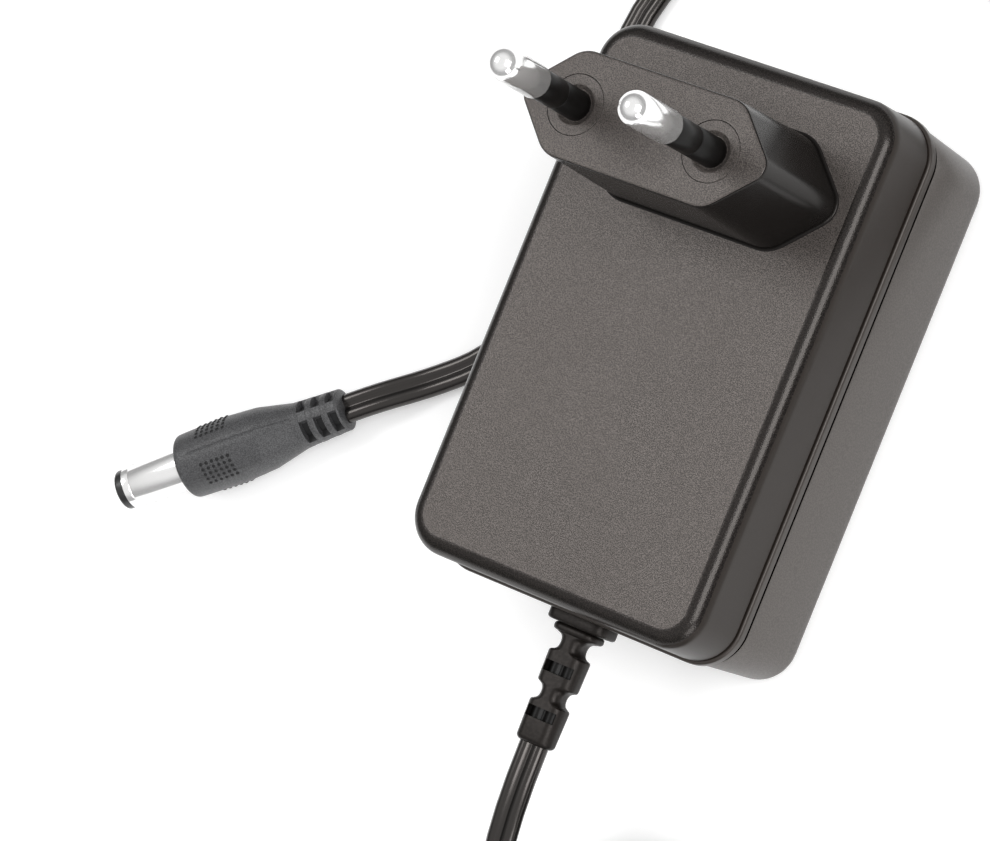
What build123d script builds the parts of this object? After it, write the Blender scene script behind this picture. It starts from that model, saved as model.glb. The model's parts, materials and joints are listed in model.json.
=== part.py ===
"""Plug-in power supply with a flat two-pin mains plug and a low-voltage lead, in millimetres.

The adaptor lies on its back with its mains pins up. The origin is the middle of its back face:
+X runs across the case, +Y towards the end with the plug block and +Z out of the front.
"""

import math
import os

from build123d import *

os.makedirs("parts", exist_ok=True)

# Case halves
CASE_WIDTH = 41.8
CASE_LENGTH = 66.8
REAR_DEPTH = 16.4
FRONT_DEPTH = 10.7
CORNER_RADIUS = 5.2
WALL = 2.0
REAR_DRAFT = 1.8
FRONT_DRAFT = 1.5
REAR_EDGE_RADIUS = 2.5
FRONT_EDGE_RADIUS = 2.0
FLOOR_FILLET = 0.8
LIP_HEIGHT = 1.3
LIP_PROUD = 0.3
LIP_EDGE_RADIUS = 0.35
SHADOW_GAP_HEIGHT = 0.5
SHADOW_GAP_DEPTH = 0.4
TONGUE_HEIGHT = 1.2
TONGUE_THICKNESS = 0.9
TONGUE_CLEARANCE = 0.1
FRONT_Z = REAR_DEPTH + FRONT_DEPTH

# Plug block on the front case
BLOCK_Y = 19.75
BLOCK_HEIGHT = 17.2
BLOCK_HALF_WIDTH = 17.4
BLOCK_HALF_HEIGHT = 6.4
BLOCK_CORNER_RADIUS = 3.7
BLOCK_TIP_RADIUS = 2.1
BLOCK_DRAFT = 1.5
BLOCK_WALL = 1.5
BLOCK_FACE_WALL = 2.0
BLOCK_FACE_EDGE_RADIUS = 0.3
FACE_Z = FRONT_Z + BLOCK_HEIGHT

# Mains pins, their sleeves and the inserts that hold them
PIN_PITCH = 18.6
PIN_TIP_PITCH = 17.4
PIN_LENGTH = 19.0
PIN_RADIUS = 2.0
PIN_CORE_RADIUS = 1.3
PIN_TAIL = 8.0
SLEEVE_LENGTH = 10.0
SLEEVE_RADIUS = 1.8
SLEEVE_SEAT = 3.0
SLEEVE_LINE_HEIGHT = 5.0
SLEEVE_LINE_WIDTH = 0.3
SLEEVE_LINE_DEPTH = 0.1
INSERT_RADIUS = 3.6
INSERT_CLEARANCE = 0.1
INSERT_FLANGE_RADIUS = 4.1
INSERT_FLANGE_THICKNESS = 1.5
INSERT_DEPTH = 6.5
INSERT_RECESS_RADIUS = 2.9
INSERT_RECESS_DEPTH = 0.3
PIN_TILT = math.degrees(math.asin((PIN_PITCH - PIN_TIP_PITCH) / 2 / PIN_LENGTH))

# Strain relief where the lead leaves the case
RELIEF_Z = 15.0
RELIEF_LENGTH = 16.0
RELIEF_FLANGE = (8.3, 4.6, 1.6)
RELIEF_SHOULDER = (6.1, 3.9, 1.0)
RELIEF_ROOT = (5.4, 3.5)
RELIEF_END = (4.8, 3.1)
RELIEF_CORNER_RADIUS = 0.8
RELIEF_END_RADIUS = 0.5
RELIEF_NECKS = (3.75, 9.9)
RELIEF_NECK_LENGTH = 2.1
RELIEF_NECK_WIDTH = 2.8
RELIEF_WINDOWS = (6.8, 12.4)
RELIEF_WINDOW_LENGTH = 1.3
RELIEF_WINDOW_WIDTH = 4.0
RELIEF_WEB_THICKNESS = 1.9
RELIEF_THROAT = (4.8, 3.2)
RELIEF_COLLAR = (6.4, 4.0, 1.4)
RELIEF_STUB = (4.6, 2.6, 1.2)

# Flat twin lead
CORD_WIDTH = 3.8
CORD_THICKNESS = 1.9
CORD_FLOOR_Z = CORD_THICKNESS / 2

# Low-voltage plug, which lies on the floor on the long flank of its grip
PLUG_TIP_X = -75.0
PLUG_TIP_Y = -41.5
PLUG_HEADING = 38.5
BARREL_RADIUS = 2.75
BARREL_WALL = 0.3
BARREL_LENGTH = 9.5
BARREL_SEAT = 3.0
BARREL_FLANGE_RADIUS = 3.1
TIP_COLLAR_RADIUS = 2.55
TIP_COLLAR_CHAMFER = 0.35
TIP_COLLAR_LENGTH = 1.1
TIP_HOLE_RADIUS = 1.2
CONTACT_BORE_RADIUS = 1.05
CONTACT_WALL = 0.3
CONTACT_SETBACK = 0.4
CONTACT_SLIT = 0.4
CONTACT_SLIT_LENGTH = 6.0
GRIP_LENGTH = 16.4
GRIP_FACE_RADIUS = 4.15
GRIP_RADIUS = 4.35
GRIP_REAR_RADIUS = 4.05
GRIP_NECK_RADIUS = 3.0
GRIP_BELLY_PLACE = 7.0
GRIP_REAR_PLACE = 11.5
GRIP_FACE_EDGE_RADIUS = 0.6
PLUG_RELIEF_LENGTH = 6.6
PLUG_RELIEF_END_RADIUS = 2.7
PLUG_END_CHAMFER = 0.4
PLUG_SLOT_COUNT = 3
PLUG_SLOT_LENGTH = 1.1
PLUG_SLOT_PITCH = 2.0
PLUG_SLOT_START = 1.0
PLUG_SLOT_FLOOR_RADIUS = 2.0
PLUG_RIB_WIDTH = 1.3
PLUG_RIB_COUNT = 4
PLUG_LENGTH = BARREL_LENGTH + GRIP_LENGTH + PLUG_RELIEF_LENGTH

# Put-away coil of the lead and its twist tie
COIL_X = 23.9
COIL_Y = -78.9
COIL_RADIUS = 21.2
COIL_COLUMNS = 2
COIL_FULL_LAYERS = 4
COIL_COLUMN_PITCH = 3.9
COIL_START_ANGLE = 208.0
COIL_END_ANGLE = -6.0
COIL_CLEARANCE = 0.05
COIL_SHOULDER = COIL_FULL_LAYERS * CORD_THICKNESS
COIL_HEIGHT = COIL_SHOULDER + CORD_THICKNESS
TIE_ANGLE = 300.0
TIE_WIDTH = 3.5
TIE_THICKNESS = 0.6
TIE_TAIL_RADIUS = 0.8
TIE_TAIL_LENGTH = 8.0

# Circuit board and the bosses that carry it
BOSS_HEIGHT = 2.4
BOSS_RADIUS = 2.0
PEG_RADIUS = 1.0
PEG_HEAD_RADIUS = 1.6
PEG_HEAD_HEIGHT = 0.6
PEG_INSET = 2.0
BOARD_GAP = 0.5
BOARD_THICKNESS = 1.6
BOARD_CORNER_RADIUS = 2.5
MAINS_END_MARGIN = 1.6
OUTPUT_END_MARGIN = 4.4
BOARD_BOTTOM = WALL + BOSS_HEIGHT
BOARD_TOP = BOARD_BOTTOM + BOARD_THICKNESS
BOARD_WIDTH = CASE_WIDTH - 2 * (WALL + BOARD_GAP) - 2 * REAR_DEPTH * math.tan(math.radians(REAR_DRAFT))
BOARD_LENGTH = CASE_LENGTH - 2 * (WALL + BOARD_GAP) - 2 * REAR_DEPTH * math.tan(math.radians(REAR_DRAFT))

# Insulated wires inside the case
WIRE_RADIUS = 0.8
WIRE_BEND_RADIUS = 2.5
OUTPUT_LEAD_RUN = 0.2
MAINS_LANDING_X = 4.5
MAINS_LANDING_INSET = 2.6
MAINS_LEAD_KNEE_DROP = 0.38
MAINS_LEAD_KNEE_HEIGHT = 0.57

# Sizes of the parts on the board: width along X, length along Y and height, or radius and height
FUSE_SIZE = (4.4, 8.4, 7.7)
BRIDGE_SIZE = (8.3, 6.4, 3.3)
CONTROLLER_SIZE = (6.4, 9.3, 3.3)
OPTOCOUPLER_SIZE = (6.4, 4.6, 3.5)
CHIP_STANDOFF = 0.5
CHIP_LEG_PITCH = 2.54
CHIP_LEG_WIDTH = 0.5
CHIP_LEG_THICKNESS = 0.3
CHIP_EDGE = 0.4
BULK_RADIUS = 5.0
BULK_HEIGHT = 16.0
OUTPUT_CAPACITOR_RADII = (4.0, 3.15)
OUTPUT_CAPACITOR_HEIGHT = 14.0
AUX_CAPACITOR_RADIUS = 2.5
AUX_CAPACITOR_HEIGHT = 11.0
CAN_EDGE = 0.35
CAN_CRIMP_HEIGHT = 2.0
CAN_CRIMP_DEPTH = 0.35
CHOKE_RADIUS = 4.0
CHOKE_HEIGHT = 9.5
CHOKE_WAIST_RADIUS = 2.2
CHOKE_RIM_HEIGHT = 1.4
CHOKE_WINDING_RADIUS = 3.7
Y_CAPACITOR_RADIUS = 3.5
Y_CAPACITOR_THICKNESS = 3.4
Y_CAPACITOR_EDGE = 0.9
Y_CAPACITOR_LEG_SPACING = 5.0
Y_CAPACITOR_LEG_HEIGHT = 2.0
Y_CAPACITOR_LEG_RADIUS = 0.35
HEATSINK_SIZE = (12.8, 6.0, 15.0)
HEATSINK_THICKNESS = 1.2
RECTIFIER_BODY = (10.0, 4.5, 9.0)
RECTIFIER_TAB = (10.0, 1.3, 6.0)
RECTIFIER_LEG_HEIGHT = 3.0
RECTIFIER_LEG_WIDTH = 0.8
RECTIFIER_LEG_PITCH = 2.54

# Transformer on a flat-lying bobbin with its winding axis along Y
CORE_WIDTH = 19.0
CORE_THICKNESS = 4.8
CORE_YOKE = 2.6
CORE_OUTER_LEG = 2.4
CORE_CENTRE_LEG = 4.8
WINDING_LENGTH = 8.8
WINDING_WIDTH = 13.2
WINDING_HEIGHT = 13.2
BOBBIN_WALL = 0.7
BOBBIN_CLEARANCE = 0.1
BOBBIN_RAIL = (18.0, 2.4, 2.6)
TRANSFORMER_LENGTH = WINDING_LENGTH + 2 * (BOBBIN_WALL + CORE_YOKE)


def spread(start, end, sizes):
    """Middles of parts that stand in a row between two ends, with even gaps between and beside them."""
    way = 1 if end > start else -1
    gap = (abs(end - start) - sum(sizes)) / (len(sizes) + 1)
    middles = []
    edge = start
    for size in sizes:
        middles.append(edge + way * (gap + size / 2))
        edge = middles[-1] + way * size / 2
    return middles


# Places on the board: three rows across it, and a column down each side and one between them
MAINS_END_Y = BOARD_LENGTH / 2 - MAINS_END_MARGIN
OUTPUT_END_Y = OUTPUT_END_MARGIN - BOARD_LENGTH / 2
BULK = 2 * BULK_RADIUS
CHIP_LEGS = 2 * CHIP_LEG_THICKNESS
SIDE_X = BOARD_WIDTH / 2
FUSE_X, BRIDGE_X, BULK_X = spread(-SIDE_X, SIDE_X, [FUSE_SIZE[0], BRIDGE_SIZE[0] + CHIP_LEGS, BULK])
CHOKE_X, CONTROLLER_X, SECOND_BULK_X = spread(
    -SIDE_X, SIDE_X, [2 * CHOKE_RADIUS, CONTROLLER_SIZE[0] + CHIP_LEGS, BULK]
)
TRANSFORMER_X, CONTROL_X = spread(-SIDE_X, SIDE_X, [CORE_WIDTH, OPTOCOUPLER_SIZE[0] + CHIP_LEGS])
HEATSINK_X, *OUTPUT_CAPACITOR_X = spread(
    -SIDE_X, SIDE_X, [HEATSINK_SIZE[0], *(2 * radius for radius in OUTPUT_CAPACITOR_RADII)]
)
FUSE_Y, CHOKE_Y, TRANSFORMER_Y, HEATSINK_Y = spread(
    MAINS_END_Y, OUTPUT_END_Y, [FUSE_SIZE[1], 2 * CHOKE_RADIUS, TRANSFORMER_LENGTH, HEATSINK_SIZE[1]]
)
BULK_Y, SECOND_BULK_Y, AUX_Y, OPTOCOUPLER_Y, Y_CAPACITOR_Y, OUTPUT_CAPACITOR_Y = spread(
    MAINS_END_Y,
    OUTPUT_END_Y,
    [
        BULK,
        BULK,
        2 * AUX_CAPACITOR_RADIUS,
        OPTOCOUPLER_SIZE[1],
        Y_CAPACITOR_THICKNESS,
        2 * max(OUTPUT_CAPACITOR_RADII),
    ],
)
BRIDGE_Y, CONTROLLER_Y = spread(
    BOARD_LENGTH / 2 - MAINS_LANDING_INSET - WIRE_RADIUS,
    TRANSFORMER_Y + TRANSFORMER_LENGTH / 2,
    [BRIDGE_SIZE[1] + CHIP_LEGS, CONTROLLER_SIZE[1]],
)


def plate(width, length, radius, z):
    """A rounded rectangle in the plane at height z."""
    return Pos(0, 0, z) * RectangleRounded(width, length, radius)


def ring(outer_inset, inner_inset, z, height):
    """A straight band that follows the case outline, between two insets from its widest size."""
    outer = plate(CASE_WIDTH - 2 * outer_inset, CASE_LENGTH - 2 * outer_inset, CORNER_RADIUS - outer_inset, z)
    inner = plate(CASE_WIDTH - 2 * inner_inset, CASE_LENGTH - 2 * inner_inset, CORNER_RADIUS - inner_inset, z)
    return extrude(outer, amount=height) - extrude(inner, amount=height)


def rounded_box(width, length, height, radius):
    """A box that stands on z = 0, with rounded upright edges."""
    return extrude(RectangleRounded(width, length, radius), amount=height)


def hexagon(half_width, half_height, corner_radius, tip_radius):
    """The flat plug's outline: a bar with two 45 degree ends and rounded corners."""
    shoulder = half_width - half_height
    corners = [(shoulder, half_height), (-shoulder, half_height), (-half_width, 0)]
    corners += [(-shoulder, -half_height), (shoulder, -half_height), (half_width, 0)]
    outline = make_face(Polyline(*corners, close=True))
    tips = outline.vertices().filter_by(lambda vertex: abs(vertex.Y) < half_height / 2)
    blunt = fillet(outline.vertices() - tips, corner_radius)
    tips = blunt.vertices().group_by(lambda vertex: abs(vertex.X))[-1]
    return fillet(tips, tip_radius)


def peg_places():
    """The four corners where the board is held."""
    half_width = BOARD_WIDTH / 2 - PEG_INSET
    half_length = BOARD_LENGTH / 2 - PEG_INSET
    return [(sx * half_width, sy * half_length) for sx in (-1, 1) for sy in (-1, 1)]


def relief_slot():
    """The U-shaped seat of the strain relief, open at the parting line."""
    bottom = RELIEF_Z - RELIEF_THROAT[1] / 2
    size = (RELIEF_THROAT[0], 4 * WALL, REAR_DEPTH + TONGUE_HEIGHT - bottom)
    return Pos(0, -CASE_LENGTH / 2, bottom) * Box(*size, align=(Align.CENTER, Align.CENTER, Align.MIN))


def rear_case():
    """Back half: a tapered tray with a tongue round its rim and four staked board bosses."""
    outline = plate(CASE_WIDTH, CASE_LENGTH, CORNER_RADIUS, REAR_DEPTH)
    shell = extrude(outline, amount=-REAR_DEPTH, taper=REAR_DRAFT)
    shell = fillet(shell.faces().sort_by(Axis.Z)[0].edges(), REAR_EDGE_RADIUS)
    inside = plate(CASE_WIDTH - 2 * WALL, CASE_LENGTH - 2 * WALL, CORNER_RADIUS - WALL, REAR_DEPTH)
    cavity = extrude(inside, amount=WALL - REAR_DEPTH, taper=REAR_DRAFT)
    cavity = fillet(cavity.faces().sort_by(Axis.Z)[0].edges(), FLOOR_FILLET)
    shell -= cavity
    shell += ring(WALL - TONGUE_THICKNESS, WALL, REAR_DEPTH, TONGUE_HEIGHT)
    shell -= ring(-1, SHADOW_GAP_DEPTH, REAR_DEPTH - SHADOW_GAP_HEIGHT, SHADOW_GAP_HEIGHT)
    for x, y in peg_places():
        boss = Cylinder(BOSS_RADIUS, BOSS_HEIGHT + WALL / 2, align=(Align.CENTER, Align.CENTER, Align.MIN))
        peg = Cylinder(PEG_RADIUS, BOARD_THICKNESS, align=(Align.CENTER, Align.CENTER, Align.MIN))
        head = Cylinder(PEG_HEAD_RADIUS, PEG_HEAD_HEIGHT, align=(Align.CENTER, Align.CENTER, Align.MIN))
        shell += Pos(x, y, WALL / 2) * boss
        shell += Pos(x, y, BOARD_BOTTOM) * peg
        shell += Pos(x, y, BOARD_TOP) * head
    return shell - relief_slot()


def front_case():
    """Front half: a filleted lid with a proud lip and the hollow plug block in one moulding."""
    outline = plate(CASE_WIDTH, CASE_LENGTH, CORNER_RADIUS, REAR_DEPTH)
    skirt = extrude(outline, amount=FRONT_DEPTH, taper=FRONT_DRAFT)
    skirt = fillet(skirt.faces().sort_by(Axis.Z)[-1].edges(), FRONT_EDGE_RADIUS)
    lip_outline = plate(
        CASE_WIDTH + 2 * LIP_PROUD, CASE_LENGTH + 2 * LIP_PROUD, CORNER_RADIUS + LIP_PROUD, REAR_DEPTH
    )
    lip = extrude(lip_outline, amount=LIP_HEIGHT)
    lip = fillet(lip.faces().sort_by(Axis.Z)[-1].edges(), LIP_EDGE_RADIUS)
    down = Plane(origin=(0, BLOCK_Y, FACE_Z), x_dir=(1, 0, 0), z_dir=(0, 0, -1))
    face = hexagon(BLOCK_HALF_WIDTH, BLOCK_HALF_HEIGHT, BLOCK_CORNER_RADIUS, BLOCK_TIP_RADIUS)
    block = extrude(down * face, amount=BLOCK_HEIGHT + WALL / 2, dir=(0, 0, -1), taper=-BLOCK_DRAFT)
    block = fillet(block.faces().sort_by(Axis.Z)[-1].edges(), BLOCK_FACE_EDGE_RADIUS)
    inside = plate(CASE_WIDTH - 2 * WALL, CASE_LENGTH - 2 * WALL, CORNER_RADIUS - WALL, REAR_DEPTH)
    cavity = extrude(inside, amount=FRONT_DEPTH - WALL, taper=FRONT_DRAFT)
    core = hexagon(
        BLOCK_HALF_WIDTH - math.sqrt(2) * BLOCK_WALL,
        BLOCK_HALF_HEIGHT - BLOCK_WALL,
        BLOCK_CORNER_RADIUS - BLOCK_WALL,
        BLOCK_TIP_RADIUS - BLOCK_WALL,
    )
    deep = Plane(origin=(0, BLOCK_Y, FACE_Z - BLOCK_FACE_WALL), x_dir=(1, 0, 0), z_dir=(0, 0, -1))
    core_depth = BLOCK_HEIGHT - BLOCK_FACE_WALL + 1.5 * WALL
    hollow = extrude(deep * core, amount=core_depth, dir=(0, 0, -1), taper=-BLOCK_DRAFT)
    shell = skirt + lip + block - cavity - hollow
    groove_inset = WALL - TONGUE_THICKNESS - TONGUE_CLEARANCE
    shell -= ring(groove_inset, WALL + 1, REAR_DEPTH, TONGUE_HEIGHT + TONGUE_CLEARANCE)
    for side in (-1, 1):
        hole = Cylinder(INSERT_RADIUS, 3 * BLOCK_FACE_WALL)
        shell -= Pos(side * PIN_PITCH / 2, BLOCK_Y, FACE_Z) * hole
    return shell


def pin_frame(side):
    """Where a pin leaves the block's face, with local Z along the pin, which leans inwards."""
    return Location((side * PIN_PITCH / 2, BLOCK_Y, FACE_Z), (0, -side * PIN_TILT, 0))


def pin_insert(side):
    """Round moulded insert that is pushed into the block from inside and holds one pin."""
    base = (Align.CENTER, Align.CENTER, Align.MAX)
    seat = -BLOCK_FACE_WALL
    body = Cylinder(INSERT_RADIUS - INSERT_CLEARANCE, BLOCK_FACE_WALL, align=base)
    body += Pos(0, 0, seat) * Cylinder(INSERT_FLANGE_RADIUS, INSERT_FLANGE_THICKNESS, align=base)
    stem_length = INSERT_DEPTH - BLOCK_FACE_WALL
    body += Pos(0, 0, seat) * Cylinder(INSERT_RADIUS - INSERT_CLEARANCE, stem_length, align=base)
    body -= Cylinder(INSERT_RECESS_RADIUS, 2 * INSERT_RECESS_DEPTH)
    body = Pos(side * PIN_PITCH / 2, BLOCK_Y, FACE_Z) * body
    body -= pin_frame(side) * Pos(0, 0, -SLEEVE_SEAT) * Cylinder(
        SLEEVE_RADIUS, 2 * SLEEVE_SEAT, align=(Align.CENTER, Align.CENTER, Align.MIN)
    )
    return body - pin_frame(side) * Cylinder(PIN_CORE_RADIUS, 4 * INSERT_DEPTH)


def mains_pin(side):
    """Round pin: a bare end with a ball tip, on a thinner core that runs through the sleeve."""
    shoulder = SLEEVE_LENGTH
    outline = Polyline(
        (0, PIN_LENGTH),
        (0, -PIN_TAIL),
        (PIN_CORE_RADIUS, -PIN_TAIL),
        (PIN_CORE_RADIUS, shoulder),
        (PIN_RADIUS, shoulder),
        (PIN_RADIUS, PIN_LENGTH - PIN_RADIUS),
    )
    tip = CenterArc((0, PIN_LENGTH - PIN_RADIUS), PIN_RADIUS, 0, 90)
    return pin_frame(side) * revolve(Plane.XZ * make_face(outline + tip), Axis.Z)


def pin_sleeve(side):
    """Insulating sleeve over the inner half of the pin, with its faint moulding line."""
    outline = Polyline(
        (PIN_CORE_RADIUS, -SLEEVE_SEAT),
        (SLEEVE_RADIUS, -SLEEVE_SEAT),
        (SLEEVE_RADIUS, SLEEVE_LINE_HEIGHT - SLEEVE_LINE_WIDTH / 2),
        (SLEEVE_RADIUS - SLEEVE_LINE_DEPTH, SLEEVE_LINE_HEIGHT),
        (SLEEVE_RADIUS, SLEEVE_LINE_HEIGHT + SLEEVE_LINE_WIDTH / 2),
        (SLEEVE_RADIUS, SLEEVE_LENGTH),
        (PIN_CORE_RADIUS, SLEEVE_LENGTH),
        close=True,
    )
    return pin_frame(side) * revolve(Plane.XZ * make_face(outline), Axis.Z)


def wire(points):
    """An insulated wire along straight runs with rounded corners."""
    path = FilletPolyline(*points, radius=WIRE_BEND_RADIUS)
    start = Plane(origin=path @ 0, z_dir=path % 0)
    return sweep(start * Circle(WIRE_RADIUS), path=path)


def mains_lead(side):
    """Wire from a pin's tail in the block down to the board."""
    tail = (pin_frame(side) * Pos(0, 0, -PIN_TAIL)).position
    drop = tail.Z - BOARD_TOP
    knee = (pin_frame(side) * Pos(0, 0, -PIN_TAIL - MAINS_LEAD_KNEE_DROP * drop)).position
    x = side * MAINS_LANDING_X
    y = BOARD_LENGTH / 2 - MAINS_LANDING_INSET
    return wire(
        [
            (tail.X, tail.Y, tail.Z),
            (knee.X, knee.Y, knee.Z),
            (x, y, BOARD_TOP + MAINS_LEAD_KNEE_HEIGHT * drop),
            (x, y, BOARD_TOP),
        ]
    )


def output_lead(side):
    """One conductor of the lead, from the inner end of the strain relief down to the board."""
    inner_end = RELIEF_COLLAR[2] + RELIEF_STUB[2] + WALL - CASE_LENGTH / 2
    x = side * CORD_WIDTH / 4
    landing_y = inner_end + WIRE_BEND_RADIUS + OUTPUT_LEAD_RUN
    return wire([(x, inner_end, RELIEF_Z), (x, landing_y, RELIEF_Z), (x, landing_y, BOARD_TOP)])


def section_bar(size, start, depth):
    """A rounded bar of the strain relief, from a distance outside the case end outwards."""
    plane = Plane(origin=(0, -CASE_LENGTH / 2 - start, RELIEF_Z), x_dir=(1, 0, 0), z_dir=(0, -1, 0))
    return extrude(plane * RectangleRounded(size[0], size[1], RELIEF_CORNER_RADIUS), amount=depth)


def strain_relief(rear, front):
    """Moulded strain relief, cut by turns from its sides and its faces so that it bends."""
    sunk = WALL / 4
    root = Plane(origin=(0, -CASE_LENGTH / 2, RELIEF_Z), x_dir=(1, 0, 0), z_dir=(0, -1, 0))
    end = root.offset(RELIEF_LENGTH)
    bar = loft(
        [
            root * RectangleRounded(*RELIEF_ROOT, RELIEF_CORNER_RADIUS),
            end * RectangleRounded(*RELIEF_END, RELIEF_CORNER_RADIUS),
        ]
    )
    bar = fillet(bar.faces().sort_by(Axis.Y)[0].edges(), RELIEF_END_RADIUS)
    notch = extrude(SlotOverall(2 * RELIEF_ROOT[0], RELIEF_NECK_LENGTH), amount=RELIEF_ROOT[1], both=True)
    for place in RELIEF_NECKS:
        for side in (-1, 1):
            x = side * (RELIEF_NECK_WIDTH / 2 + RELIEF_ROOT[0])
            bar -= Pos(x, -CASE_LENGTH / 2 - place, RELIEF_Z) * notch
    for place in RELIEF_WINDOWS:
        for side in (-1, 1):
            window = Box(RELIEF_WINDOW_WIDTH, RELIEF_WINDOW_LENGTH, RELIEF_ROOT[1])
            z = RELIEF_Z + side * (RELIEF_WEB_THICKNESS + RELIEF_ROOT[1]) / 2
            bar -= Pos(0, -CASE_LENGTH / 2 - place, z) * window
    flange = section_bar(RELIEF_FLANGE, -sunk, RELIEF_FLANGE[2] + sunk)
    shoulder = section_bar(RELIEF_SHOULDER, RELIEF_FLANGE[2] - sunk, RELIEF_SHOULDER[2] + sunk)
    end_wall = Pos(0, -CASE_LENGTH / 2 + WALL / 2, REAR_DEPTH) * Box(CASE_WIDTH, WALL, REAR_DEPTH)
    throat = relief_slot() & end_wall
    collar_start = -WALL - RELIEF_COLLAR[2]
    collar = section_bar(RELIEF_COLLAR, collar_start, RELIEF_COLLAR[2] + sunk)
    stub = section_bar(RELIEF_STUB, collar_start - RELIEF_STUB[2], RELIEF_STUB[2] + sunk)
    return bar + flange + shoulder + throat + collar + stub - rear - front


def plug_frame():
    """The low-voltage plug's frame: origin at its tip, local Z along its axis towards the lead."""
    tilt = plug_tilt()
    heading = math.radians(PLUG_HEADING)
    flat = math.cos(tilt)
    axis = (flat * math.cos(heading), flat * math.sin(heading), -math.sin(tilt))
    belly = BARREL_LENGTH + GRIP_BELLY_PLACE
    tip_z = GRIP_RADIUS * math.cos(tilt) + belly * math.sin(tilt)
    sideways = (-math.sin(heading), math.cos(heading), 0)
    return Plane(origin=(PLUG_TIP_X, PLUG_TIP_Y, tip_z), x_dir=sideways, z_dir=axis)


def plug_tilt():
    """The angle at which the grip's tapered flank lies flat on the floor, in radians."""
    return math.atan((GRIP_RADIUS - GRIP_REAR_RADIUS) / (GRIP_REAR_PLACE - GRIP_BELLY_PLACE))


def spin(outline):
    """Turns an outline, drawn as radius and distance from the plug's tip, about the plug's axis."""
    return plug_frame() * revolve(Plane.XZ * make_face(outline), Axis.Z)


def dc_plug_grip():
    """Moulded grip with its slotted strain relief, one piece, bored for the barrel's flange."""
    front = BARREL_LENGTH
    neck = front + GRIP_LENGTH
    outline = Polyline(
        (0, front),
        (GRIP_FACE_RADIUS, front),
        (GRIP_RADIUS, front + GRIP_BELLY_PLACE),
        (GRIP_REAR_RADIUS, front + GRIP_REAR_PLACE),
        (GRIP_NECK_RADIUS, neck),
        (PLUG_RELIEF_END_RADIUS, PLUG_LENGTH - PLUG_END_CHAMFER),
        (PLUG_RELIEF_END_RADIUS - PLUG_END_CHAMFER, PLUG_LENGTH),
        (0, PLUG_LENGTH),
        close=True,
    )
    grip = revolve(Plane.XZ * make_face(outline), Axis.Z)
    grip = fillet(grip.edges().group_by(Axis.Z)[0], GRIP_FACE_EDGE_RADIUS)
    base = (Align.CENTER, Align.CENTER, Align.MIN)
    grip -= Pos(0, 0, front) * Cylinder(BARREL_FLANGE_RADIUS, BARREL_SEAT, align=base)
    for index in range(PLUG_SLOT_COUNT):
        slot = Cylinder(2 * GRIP_RADIUS, PLUG_SLOT_LENGTH, align=base)
        slot -= Cylinder(PLUG_SLOT_FLOOR_RADIUS, PLUG_SLOT_LENGTH, align=base)
        for rib in range(PLUG_RIB_COUNT // 2):
            bar = Box(4 * GRIP_RADIUS, PLUG_RIB_WIDTH, PLUG_SLOT_LENGTH, align=base)
            slot -= Rot(0, 0, rib * 360 / PLUG_RIB_COUNT) * bar
        grip -= Pos(0, 0, neck + PLUG_SLOT_START + index * PLUG_SLOT_PITCH) * slot
    return plug_frame() * grip


def dc_plug_barrel():
    """Outer contact: a thin-walled tube with a flange that the grip is moulded round, flush with its face."""
    inner = BARREL_RADIUS - BARREL_WALL
    return spin(
        Polyline(
            (inner, TIP_COLLAR_LENGTH),
            (BARREL_RADIUS, TIP_COLLAR_LENGTH),
            (BARREL_RADIUS, BARREL_LENGTH),
            (BARREL_FLANGE_RADIUS, BARREL_LENGTH),
            (BARREL_FLANGE_RADIUS, BARREL_LENGTH + BARREL_SEAT),
            (inner, BARREL_LENGTH + BARREL_SEAT),
            close=True,
        )
    )


def dc_plug_tip():
    """Insulator between the contacts, with the collar that shows in front of the barrel."""
    seat = BARREL_LENGTH + BARREL_SEAT
    contact = CONTACT_BORE_RADIUS + CONTACT_WALL
    return spin(
        Polyline(
            (TIP_HOLE_RADIUS, 0),
            (TIP_COLLAR_RADIUS - TIP_COLLAR_CHAMFER, 0),
            (TIP_COLLAR_RADIUS, TIP_COLLAR_CHAMFER),
            (TIP_COLLAR_RADIUS, TIP_COLLAR_LENGTH),
            (BARREL_RADIUS - BARREL_WALL, TIP_COLLAR_LENGTH),
            (BARREL_RADIUS - BARREL_WALL, seat),
            (contact, seat),
            (contact, CONTACT_SETBACK),
            (TIP_HOLE_RADIUS, CONTACT_SETBACK),
            close=True,
        )
    )


def dc_plug_contact():
    """Inner contact: a tube slit into a fork, whose bore takes the socket's pin."""
    base = (Align.CENTER, Align.CENTER, Align.MIN)
    length = BARREL_LENGTH + BARREL_SEAT - CONTACT_SETBACK
    tube = Cylinder(CONTACT_BORE_RADIUS + CONTACT_WALL, length, align=base)
    tube -= Cylinder(CONTACT_BORE_RADIUS, length, align=base)
    tube -= Box(4 * CONTACT_BORE_RADIUS, CONTACT_SLIT, CONTACT_SLIT_LENGTH, align=base)
    return plug_frame() * Pos(0, 0, CONTACT_SETBACK) * tube


def coil_point(angle, radius, z):
    """A point on a turn of the coil, at an angle in degrees."""
    turn = math.radians(angle)
    return (COIL_X + radius * math.cos(turn), COIL_Y + radius * math.sin(turn), z)


def coil_spread():
    """Distance from the coil's mean radius to the middle of its outer or inner column of turns."""
    return (COIL_COLUMNS - 1) * COIL_COLUMN_PITCH / 2


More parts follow.
